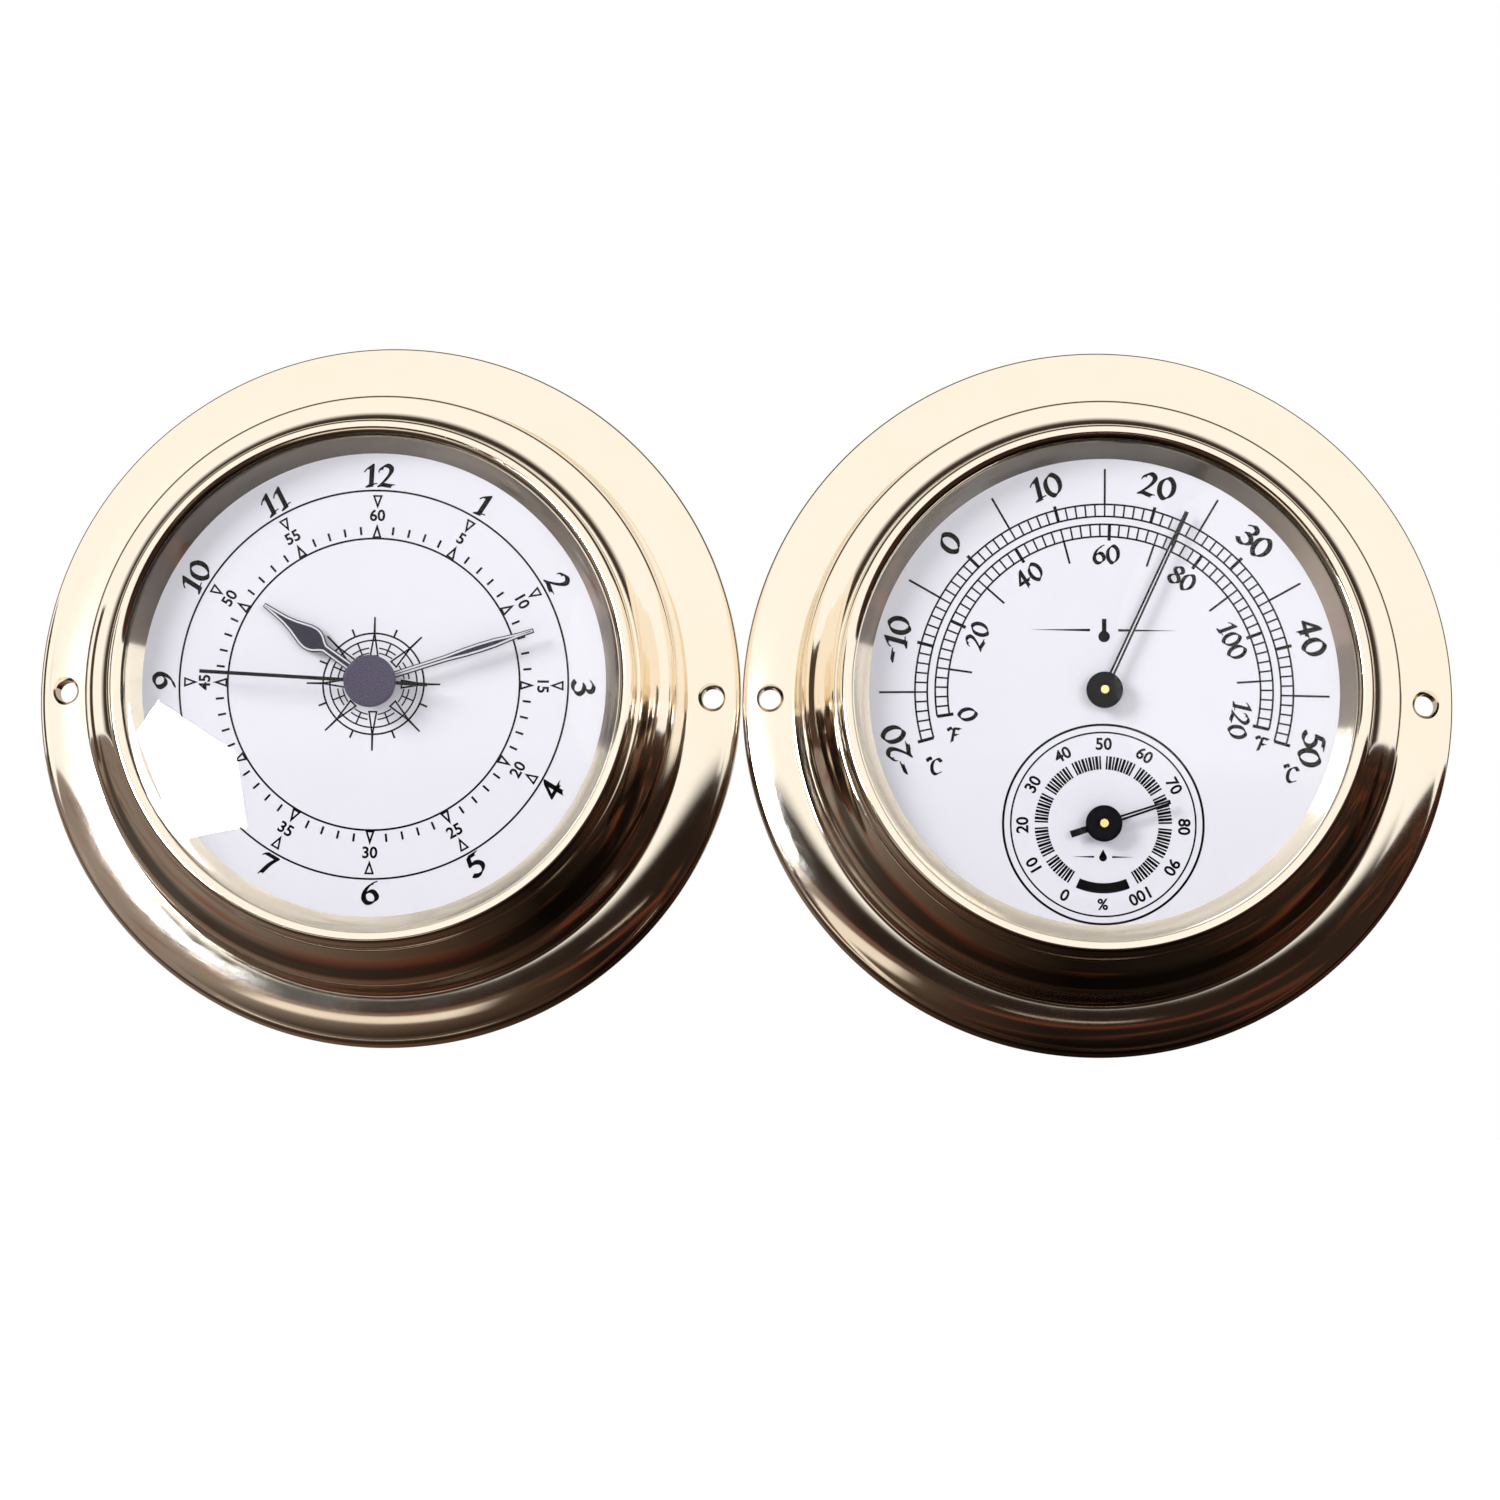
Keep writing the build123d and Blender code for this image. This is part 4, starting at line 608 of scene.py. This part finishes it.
# The rest of the rose: eight long points, eight short ones between them, and rings of arcs inside.
clock_print.append(marks([[(-0.75, 4.3), (0.75, 4.3), (0.15, 8.0), (-0.15, 8.0)]], CLOCK,
                         hollow=0.26, count=8, step=45))
clock_print.append(marks([bar(7.7, 10.6, 0.36, 0, 0.26)], CLOCK, count=8, step=45))
clock_print.append(marks([bar(8.0, 9.3, 0.3, 22.5)], CLOCK, count=8, step=45))
clock_print.append(marks([bar(4.9, 6.9, 0.24, 22.5)], CLOCK, count=8, step=45))
for first in range(0, 360, 45):
    clock_print.append(circle(5.7, 0.22, CLOCK, first + 8, first + 37))
    clock_print.append(circle(4.9, 0.2, CLOCK, first + 9, first + 36))
for hour in range(1, 13):
    low = 4 <= hour <= 8
    clock_print += numeral(str(hour), CLOCK, 33.1, hour * 30, 3.5, low, 1.12)
    clock_print.append(plain_text(str(hour * 5), CLOCK, 26.75, hour * 30, 2.5, low))
printed("clock_dial_print", clock_print)

# The scales of the other dial, in degrees of turn for one degree Celsius, one Fahrenheit and one percent. At
# the top stand 15 degrees Celsius, 59 Fahrenheit and 50 percent.
CELSIUS = 212 / 70
FAHRENHEIT = CELSIUS / 1.8
PERCENT = 3.04
weather_print = [circle(r, 0.28, WEATHER, -106, 106) for r in (29.55, 27.63)]
weather_print += [circle(r, 0.28, WEATHER, -59 * FAHRENHEIT, 61 * FAHRENHEIT) for r in (26.38, 24.44)]
weather_print.append(marks([bar(27.63, 29.55, 0.26, -106)], WEATHER, count=71, step=CELSIUS))
weather_print.append(marks([bar(24.44, 26.38, 0.26, -59 * FAHRENHEIT)], WEATHER,
                           count=61, step=2 * FAHRENHEIT))
for celsius in range(-20, 60, 10):
    angle = (celsius - 15) * CELSIUS
    weather_print.append(marks([bar(27.63, 30.2, 0.5, angle)], WEATHER))
    weather_print += numeral(str(celsius), WEATHER, 33.4, angle - 1.2, 3.6, False, 1.08)
for celsius in range(-15, 50, 10):
    weather_print.append(marks([bar(29.55, 35.2, 0.32, (celsius - 15) * CELSIUS)], WEATHER))
for reading in range(0, 140, 20):
    weather_print.append(marks([bar(23.8, 26.38, 0.5, (reading - 59) * FAHRENHEIT)], WEATHER))
    weather_print += numeral(str(reading), WEATHER, 21.5, (reading - 59) * FAHRENHEIT - 1.5, 2.9)
for reading in range(10, 130, 20):
    weather_print.append(marks([bar(20.8, 24.44, 0.32, (reading - 59) * FAHRENHEIT)], WEATHER))
for text, radius, angle, height, lean in (("dF", 24.7, -107, 2.3, 8), ("dC", 29.3, -114.5, 2.6, 8),
                                          ("dF", 25.6, 108.5, 2.3, 20), ("dC", 31.5, 113.8, 2.6, 20)):
    weather_print += numeral(text, WEATHER, radius, angle, height, lean=lean)
# The hygrometer's small dial, with a black arc at its foot.
weather_print += [circle(15.6, 0.36, HUMIDITY), circle(14.4, 0.26, HUMIDITY),
                  circle(10.0, 1.6, HUMIDITY, 157, 203)]
for ten in range(10):
    start = -152 + ten * 10 * PERCENT
    weather_print.append(marks([bar(8.6, 10.7, 0.27 if k % 2 else 0.42, start + k * PERCENT)
                                for k in range(1, 10)], HUMIDITY))
for ten in range(11):
    weather_print.append(plain_text(str(ten * 10), HUMIDITY, 12.5, (ten * 10 - 50) * PERCENT, 2.6))
weather_print.append(plain_text("%", HUMIDITY, 12.6, 180, 2.4, True))
# A thermometer and a drop, each between two tapering rules.
weather_print.append(marks([[(-11.5, 9.6), (-2.2, 9.4), (-2.2, 9.8)], [(11.5, 9.6), (2.2, 9.8), (2.2, 9.4)],
                            [(-0.35, 9.0), (0.35, 9.0), (0.35, 11.4), (-0.35, 11.4)]], WEATHER))
weather_print.append(circle(0.45, 0.9, (WEATHER[0], WEATHER[1] + 8.6)))
weather_print.append(marks([[(-4.8, -5.1), (-1.4, -5.25), (-1.4, -4.95)],
                            [(4.8, -5.1), (1.4, -4.95), (1.4, -5.25)],
                            [(0, -3.9), (0.55, -5.0), (-0.55, -5.0)]], HUMIDITY))
weather_print.append(circle(0.3, 0.6, (HUMIDITY[0], HUMIDITY[1] - 5.2)))
printed("weather_dial_print", weather_print)
for master in masters.values():
    bpy.data.objects.remove(master)

# Hands and pointers
# The clock's hands are pressed from sheet: a black outline that is painted edge shadow, a bevelled border
# in bright grey that is a painted highlight, and a slate grey face, all under a turned hub. The pointers are
# black strips with a bright grey line along the middle, a painted highlight, under round hubs.
HAND_BOSS = 3.4
# The first step leaves a black rim of painted edge shadow round each hand, and the second a bright grey
# border of painted highlight round the slate face.
HAND_STEPS = [(0.16, 0.06), (0.28, 0.02)]
HAND_THICKNESS = 0.4
POINTER_BOSS, POINTER_BORE = 1.5, 0.5
POINTER_STEPS = [(0.33, 0.05)]
POINTER_LOW, POINTER_HIGH = 21.4, 21.7


def pressed(name, sides, boss, hole, steps, centre, turn, low, high, finishes):
    """Presses a hand from the points of its right side, from low to high off the wall.

    It has a round boss with a hole, or neither at 0. Each step is a border of some width and rise round the
    face. The first finish is for the sheet, and the others are for what lies inside each border.
    """
    outline = [(-x, y) for x, y in sides] + [(x, y) for x, y in reversed(sides)]
    if boss:
        first = math.asin(sides[0][0] / boss)
        turns = [first + (math.tau - 2 * first) * k / 40 for k in range(1, 40)]
        outline = [(boss * math.sin(a), boss * math.cos(a)) for a in turns] + outline
    piece = blank(name)
    points = [spot(centre, x, y, low) for x, y in swung(outline, turn)]
    pen(points + points[:1])
    bpy.ops.mesh.select_all(action="SELECT")
    bpy.ops.mesh.remove_doubles(threshold=0.001 * MM)
    bpy.ops.mesh.edge_face_add()
    sheet = high - low - sum(rise for wide, rise in steps)
    bpy.ops.mesh.extrude_region_move(TRANSFORM_OT_translate={"value": (0, -sheet * MM, 0)})
    bpy.ops.mesh.select_all(action="SELECT")
    bpy.ops.mesh.normals_make_consistent(inside=False)
    for finish in finishes:
        piece.data.materials.append(finish)
    choose(piece, lambda face: face.normal.y < -0.9)
    for k, (wide, rise) in enumerate(steps):
        bpy.ops.mesh.inset(thickness=wide * MM, depth=rise * MM)
        piece.active_material_index = k + 1
        bpy.ops.object.material_slot_assign()
    deselect()
    if hole:
        bpy.ops.mesh.primitive_cylinder_add(vertices=48, radius=hole * MM, depth=4 * MM,
                                            rotation=(math.pi / 2, 0, 0), location=spot(centre, 0, 0, low))
        drill = bpy.context.object
        pick(piece)
        cut = piece.modifiers.new("arbor_hole", "BOOLEAN")
        cut.object = drill
        cut.solver = "EXACT"
        bpy.ops.object.modifier_apply(modifier=cut.name)
        bpy.data.objects.remove(drill)
    return piece


# Finishes of the hands and pointers: bright grey, a painted highlight, for the hands' borders and the
# pointers' middle lines; slate grey for the faces; and black for the rest, whose rim round each hand is
# painted edge shadow.
painted_highlight = moulded("painted_highlight_grey", "#D6D4DC", "#E6E4EA", 0.3, 0.35, 0.002, shine=0.3)
slate = moulded("slate_grey_face", "#2A2736", "#373445", 0.3, 0.3, 0.004, shine=0.2)
black_and_edge_shadow = moulded("black_and_painted_edge_shadow", "#060608", "#0E0D11", 0.3, 0.4, 0.004, shine=0.15)
hour_side = [(0.7, 3.33), (0.7, 9.3), (0.98, 9.8), (1.62, 10.6), (1.95, 11.4), (2.05, 12.2), (1.9, 13.2),
             (1.5, 14.4), (1.08, 15.7), (0.75, 17.2), (0.55, 19.0), (0.35, 21.3)]
minute_side = [(0.5, 3.36), (0.55, 12.4), (0.62, 13.6), (0.74, 15.6), (0.79, 18.0), (0.74, 20.4),
               (0.56, 22.4), (0.42, 24.2), (0.35, 26.8)]
for name, side, hole, turn, low, body in (("hour_hand", hour_side, 2.5, 305.1, 21.1, "hour_train"),
                                          ("minute_hand", minute_side, 1.55, 71.7, 22.3, "minute_train")):
    hand = pressed("bevelled_" + name, side, HAND_BOSS, hole, HAND_STEPS, CLOCK, turn, low,
                   low + HAND_THICKNESS, (black_and_edge_shadow, painted_highlight, slate))
    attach(hand, body)
    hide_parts(name)
dress(black_and_edge_shadow, "second_hand")
# The clock's hub: turned, and sprayed with a satin slate paint.
dress(moulded("slate_paint_satin", "#4A4458", "#575065", 0.3, 0.32, 0.004, shine=0.2), "second_hand_hub")

long_side = [(0.45, 1.43), (0.4, 25.4)]
short_side = [(0.45, 1.43), (0.34, 10.9)]
for name, side, centre, turn, tail, body in (
    ("thermometer", long_side, WEATHER, 24.3, None, "temperature_needle"),
    ("humidity", short_side, HUMIDITY, 71.2, 5.4, "humidity_needle"),
):
    # The pointer's bright grey middle line is a painted highlight.
    strip = pressed(name + "_strip", side, POINTER_BOSS, POINTER_BORE, POINTER_STEPS, centre, turn,
                    POINTER_LOW, POINTER_HIGH, (black_and_edge_shadow, painted_highlight))
    # The short pointer has a tail behind its hub, and the long one a plain black tip.
    if tail:
        end = pressed("end", [(0.5, 1.0), (0.55, tail)], 0, 0, [(0.12, 0.04)], centre, turn + 180,
                      POINTER_LOW, POINTER_HIGH - 0.02, (black_and_edge_shadow, black_and_edge_shadow))
    else:
        end = pressed("end", [(0.4, 25.0), (0.34, 31.0)], 0, 0, [(0.1, 0.04)], centre, turn,
                      POINTER_LOW, POINTER_HIGH, (black_and_edge_shadow, black_and_edge_shadow))
    strip = joined(name + "_strip", [strip, end])
    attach(strip, body)
    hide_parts(name + "_pointer")
# The pointers' hubs: turned and blackened, with hardly any shine.
dress(moulded("black_turned_hub", "#0A090D", "#15131A", 0.3, 0.3, 0.004, shine=0.05),
      "thermometer_pointer_hub", "humidity_pointer_hub")

# Inner rings, glasses and bezels
# A bright brass ring slopes from each glass to the dial. The domed mineral glass lies on the rubber ring, and
# a turned brass bezel presses on over the neck of the case to hold it.


def arc_dome(edge_radius, edge_height, top, parts=28):
    """Points of a domed surface from its edge to the top of its middle."""
    rise = top - edge_height
    radius = (edge_radius ** 2 + rise ** 2) / (2 * rise)
    points = []
    for k in range(parts + 1):
        out = edge_radius * (1 - k / parts)
        points.append((out, top - radius + math.sqrt(radius ** 2 - out ** 2)))
    return points


def lens_glass():
    """Clear soda-lime glass. Lamps shine through it, so that the dial under it is lit.

    The specular tint weakens its mirroring to about a quarter, so that the print under it stays black.
    """
    material, tree, _ = stock("soda_lime_glass")
    clear = node(tree, "BsdfPrincipled", {"Base Color": srgb("#FFFFFF"), "Roughness": 0.0, "IOR": 1.5,
                                          "Specular Tint": srgb("#8C8C8C"), "Transmission Weight": 1.0})
    through = node(tree, "BsdfTransparent")
    path = node(tree, "LightPath")
    seen = node(tree, "MixShader", {0: path.outputs["Is Diffuse Ray"], 1: clear.outputs[0],
                                    2: through.outputs[0]})
    mixed = node(tree, "MixShader", {0: path.outputs["Is Shadow Ray"], 1: seen.outputs[0],
                                     2: through.outputs[0]})
    node(tree, "OutputMaterial", {"Surface": mixed.outputs[0]})
    return material


glass = lens_glass()
quarter = [(40.6 + 1.4 * math.cos(math.radians(a)), 22.3 + 3.2 * math.sin(math.radians(a)))
           for a in range(0, 91, 6)]
bezel_profile = (
    [(41.35, 20.3), (42.0, 20.3)] + quarter + bowed((40.6, 25.5), (39.4, 24.9), 0.12, 6)
    + [(39.4, 24.6), (40.45, 24.6), (40.45, 22.25), (41.35, 22.25), (41.35, 20.3)]
)
lens_profile = (
    list(reversed(arc_dome(39.1, 24.6, 28.0))) + [(40.4, 24.6), (40.4, 23.6), (38.8, 23.6)]
    + arc_dome(38.3, 23.7, 26.6)
)
ring_profile = [(36.8, 20.0), (40.1, 20.0), (40.1, 23.3), (39.2, 23.3), (39.2, 21.7), (36.8, 20.0)]
for label, centre in (("clock", CLOCK), ("weather", WEATHER)):
    ring = turned(label + "_bright_ring", ring_profile, centre)
    wear(ring, brass[label])
    bezel = turned(label + "_brass_bezel", bezel_profile, centre)
    wear(bezel, brass[label])
    lens = turned(label + "_domed_glass", lens_profile, centre, around=180)
    wear(lens, glass)
    for piece, part, finish in ((ring, "_inner_ring", "polished_brass"), (bezel, "_bezel", "polished_brass"),
                                (lens, "_lens", "lens_glass")):
        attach(piece, "root")
        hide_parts(label + part)

# Floor, lights and camera
# A pale floor lies under white air. Brass and glass mirror a bright room in front, a window at lower left, a
# dark card at the left and another low in front, and a dark cloth on the floor with two light cards over it.
# The lamps give the plain level of light and aren't mirrored.


def room_only(tree, glow):
    """Shows a glow in mirroring surfaces and through the glass, and is clear to the light of matt ones."""
    path = node(tree, "LightPath")
    first = node(tree, "Math", {0: path.outputs["Diffuse Depth"], 1: 0.5}, operation="LESS_THAN")
    clear = node(tree, "BsdfTransparent")
    mixed = node(tree, "MixShader", {0: first.outputs[0], 1: clear.outputs[0], 2: glow.outputs[0]})
    node(tree, "OutputMaterial", {"Surface": mixed.outputs[0]})


def panel(name, corners, material):
    """A flat panel that mirroring surfaces show. The camera doesn't see it, and it throws no shadow."""
    piece = blank(name)
    points = [Vector(c) for c in corners]
    pen(points + points[:1])
    bpy.ops.mesh.select_all(action="SELECT")
    bpy.ops.mesh.remove_doubles(threshold=MM)
    bpy.ops.mesh.edge_face_add()
    deselect()
    wear(piece, material)
    piece.visible_camera = piece.visible_diffuse = piece.visible_shadow = False


def card(name, corners, colour, strength=1.0, soft=0.0, outermost=False):
    """A lit panel of one colour.

    A square one can fade out over the soft metres at its edges. With outermost, light that has passed
    through glass doesn't show it, so that a strong one leaves the dials alone.
    """
    material, tree, place = stock(name + "_light")
    if outermost:
        over = node(tree, "Math", {0: node(tree, "LightPath").outputs["Transmission Depth"], 1: 0.5},
                    operation="LESS_THAN")
        strength = node(tree, "Math", {0: over.outputs[0], 1: strength}, operation="MULTIPLY").outputs[0]
    glow = node(tree, "Emission", {"Color": srgb(colour), "Strength": strength})
    if soft:
        at = node(tree, "SeparateXYZ", {0: place})
        kept = None
        for side, axis in enumerate("XYZ"):
            low, high = min(c[side] for c in corners), max(c[side] for c in corners)
            if high == low:
                continue
            off = node(tree, "Math", {0: at.outputs[axis], 1: (low + high) / 2}, operation="SUBTRACT")
            off = node(tree, "Math", {0: off.outputs[0]}, operation="ABSOLUTE")
            fade = node(tree, "MapRange", {"Value": off.outputs[0], "From Min": (high - low) / 2 - soft,
                                           "From Max": (high - low) / 2, "To Min": 1.0, "To Max": 0.0},
                        interpolation_type="SMOOTHSTEP")
            kept = node(tree, "Math", {0: fade.outputs[0], 1: kept.outputs[0] if kept else 1.0},
                        operation="MULTIPLY")
        glow = node(tree, "MixShader", {0: kept.outputs[0], 1: node(tree, "BsdfTransparent").outputs[0],
                                        2: glow.outputs[0]})
    room_only(tree, glow)
    panel(name, corners, material)


deselect()
bpy.ops.mesh.primitive_plane_add(size=6, location=(0.06, 0, -0.15))
floor = bpy.context.object
floor.name = "floor"
# Matt paper, lifted to white where it is seen or mirrored.
material, tree, _ = stock("pale_floor")
path = node(tree, "LightPath")
seen = node(tree, "Math", {0: path.outputs["Is Camera Ray"], 1: path.outputs["Is Glossy Ray"]},
            operation="MAXIMUM")
seen = node(tree, "Math", {0: seen.outputs[0], 1: path.outputs["Is Transmission Ray"]}, operation="MAXIMUM")
first = node(tree, "Math", {0: path.outputs["Diffuse Depth"], 1: 0.5}, operation="LESS_THAN")
seen = node(tree, "Math", {0: seen.outputs[0], 1: first.outputs[0]}, operation="MULTIPLY")
lift = node(tree, "Math", {0: seen.outputs[0], 1: 0.75}, operation="MULTIPLY")
matt = node(tree, "BsdfPrincipled", {"Base Color": srgb("#F0F0F0"), "Roughness": 0.8,
                                     "Emission Color": srgb("#FFFFFF"), "Emission Strength": lift.outputs[0]})
node(tree, "OutputMaterial", {"Surface": matt.outputs[0]})
wear(floor, material)

card("left_flag", [(-1.9, -1.6, -0.15), (-1.0, -0.2, -0.15), (-1.0, -0.2, 0.35), (-1.9, -1.6, 0.5)],
     "#4A3A2C")
card("window", [(-0.31, -0.48, 0.0), (-0.26, -0.48, -0.105), (-0.185, -0.48, -0.09), (-0.195, -0.48, -0.02),
                (-0.285, -0.48, 0.032)], "#FBFBFF", strength=320.0, outermost=True)
card("low_dark", [(-0.3, -0.5, -0.18), (0.36, -0.5, -0.18), (0.36, -0.5, 0.0), (-0.3, -0.5, 0.0)], "#271D17",
     soft=0.05)
card("low_light", [(-0.14, -0.38, -0.146), (0.03, -0.38, -0.146), (0.03, -0.22, -0.146),
                   (-0.14, -0.22, -0.146)], "#F0E4D4", soft=0.035)
card("side_light", [(0.08, -0.62, -0.145), (0.19, -0.62, -0.145), (0.19, -0.46, -0.145),
                    (0.08, -0.46, -0.145)], "#F6E8D6", soft=0.03)

# The cloth: grey at the left and dark at the right, darker still in the middle of its depth, with red folds.
material, tree, place = stock("dark_cloth_card")
across = node(tree, "SeparateXYZ", {0: place})
share = node(tree, "MapRange", {"Value": across.outputs["X"], "From Min": -0.3, "From Max": 0.3})
cloth = node(tree, "ValToRGB", {0: share.outputs[0]})
ramp = cloth.color_ramp
ramp.elements[0].position = 0.2
ramp.elements[0].color = srgb("#8C8076")
ramp.elements[1].position = 1.0
ramp.elements[1].color = srgb("#2E231B")
for position, code in ((0.48, "#5A4A3D"), (0.58, "#3C2E24"), (0.68, "#17110D")):
    ramp.elements.new(position).color = srgb(code)
drawn = node(tree, "Mapping", {"Vector": place, "Scale": (5, 12, 1)})
folds = node(tree, "TexNoise", {"Vector": drawn.outputs[0], "Scale": 1.0, "Detail": 3})
streak = node(tree, "MapRange", {"Value": folds.outputs["Fac"], "From Min": 0.53, "From Max": 0.68,
                                 "To Max": 0.8})
shown = node(tree, "Mix", {0: streak.outputs[0], 6: cloth.outputs[0], 7: srgb("#7E4430")}, data_type="RGBA")
run = node(tree, "MapRange", {"Value": across.outputs["Y"], "From Min": -0.25, "From Max": 0.05})
shade = node(tree, "ValToRGB", {0: run.outputs[0]})
ramp = shade.color_ramp
ramp.elements[0].position = 0.15
ramp.elements[0].color = srgb("#FFFFFF")
ramp.elements[1].position = 0.85
ramp.elements[1].color = srgb("#F0F0F0")
for position, code in ((0.4, "#8C8C8C"), (0.68, "#8C8C8C")):
    ramp.elements.new(position).color = srgb(code)
shown = node(tree, "Mix", {0: 1.0, 6: shown.outputs[2], 7: shade.outputs[0]}, data_type="RGBA",
             blend_type="MULTIPLY")
room_only(tree, node(tree, "Emission", {"Color": shown.outputs[2]}))
panel("low_card", [(-2.5, -2.5, -0.148), (2.6, -2.5, -0.148), (2.6, 2.5, -0.148), (-2.5, 2.5, -0.148)],
      material)

# The air: white to the camera, grey to matt surfaces, and to mirroring ones a room that is bright in front.
world = bpy.data.worlds.new("studio")
bpy.context.scene.world = world
world.use_nodes = True
tree = world.node_tree
tree.nodes.clear()
path = node(tree, "LightPath")
mirrored = node(tree, "Math", {0: path.outputs["Is Glossy Ray"], 1: path.outputs["Is Transmission Ray"]},
                operation="MAXIMUM")
first = node(tree, "Math", {0: path.outputs["Diffuse Depth"], 1: 0.5}, operation="LESS_THAN")
mirrored = node(tree, "Math", {0: mirrored.outputs[0], 1: first.outputs[0]}, operation="MULTIPLY")
way = node(tree, "SeparateXYZ", {0: node(tree, "TexCoord").outputs["Generated"]})
depth = node(tree, "MapRange", {"Value": way.outputs["Y"], "From Min": -1.0, "From Max": 1.0})
room = node(tree, "ValToRGB", {0: depth.outputs[0]})
ramp = room.color_ramp
ramp.elements[0].position = 0.62
ramp.elements[0].color = srgb("#FFFCF6")
ramp.elements[1].position = 0.97
ramp.elements[1].color = srgb("#B8AC9C")
for position, code in ((0.73, "#4A4038"), (0.84, "#2A221C")):
    ramp.elements.new(position).color = srgb(code)
plain = node(tree, "Mix", {0: path.outputs["Is Camera Ray"], 6: srgb("#98989C"), 7: srgb("#FFFFFF")},
             data_type="RGBA")
air = node(tree, "Mix", {0: mirrored.outputs[0], 6: plain.outputs[2], 7: room.outputs[0]}, data_type="RGBA")
power = node(tree, "MapRange", {"Value": mirrored.outputs[0], "To Min": 1.0, "To Max": 1.08})
sky = node(tree, "Background", {"Color": air.outputs[2], "Strength": power.outputs[0]})
node(tree, "OutputWorld", {"Surface": sky.outputs[0]})

AIM = Vector((0.06, 0, 0))
for name, place, size, watts in (("key_lamp", (-1.5, -1.2, 0.9), 0.9, 28.5),
                                 ("fill_lamp", (0.7, -1.4, 0.2), 1.0, 6)):
    lamp = bpy.data.lights.new(name, "AREA")
    lamp.shape = "DISK"
    lamp.size = size
    lamp.energy = watts
    stand = bpy.data.objects.new(name, lamp)
    bpy.context.collection.objects.link(stand)
    stand.location = place
    stand.rotation_euler = (AIM - Vector(place)).to_track_quat("-Z", "Y").to_euler()
    stand.visible_glossy = False
    stand.visible_camera = False

bpy.context.scene.view_settings.view_transform = "Standard"
# The photo's camera, solved from the outlines of the cases, bezels and dials: 546 mm off the wall, a bit low.
camera = bpy.data.objects.new("camera", bpy.data.cameras.new("camera"))
bpy.context.collection.objects.link(camera)
CAMERA_PLACE = (0.0787, -0.5456, -0.0554)
right, up, back = (0.99929, 0.03476, 0.01374), (-0.01068, -0.08672, 0.99617), (0.03582, -0.99562, -0.08629)
turn = Matrix((right, up, back)).transposed().to_4x4()
camera.matrix_world = Matrix.Translation(CAMERA_PLACE) @ turn
camera.data.lens = 80.4
camera.data.sensor_width = 36
bpy.context.scene.camera = camera
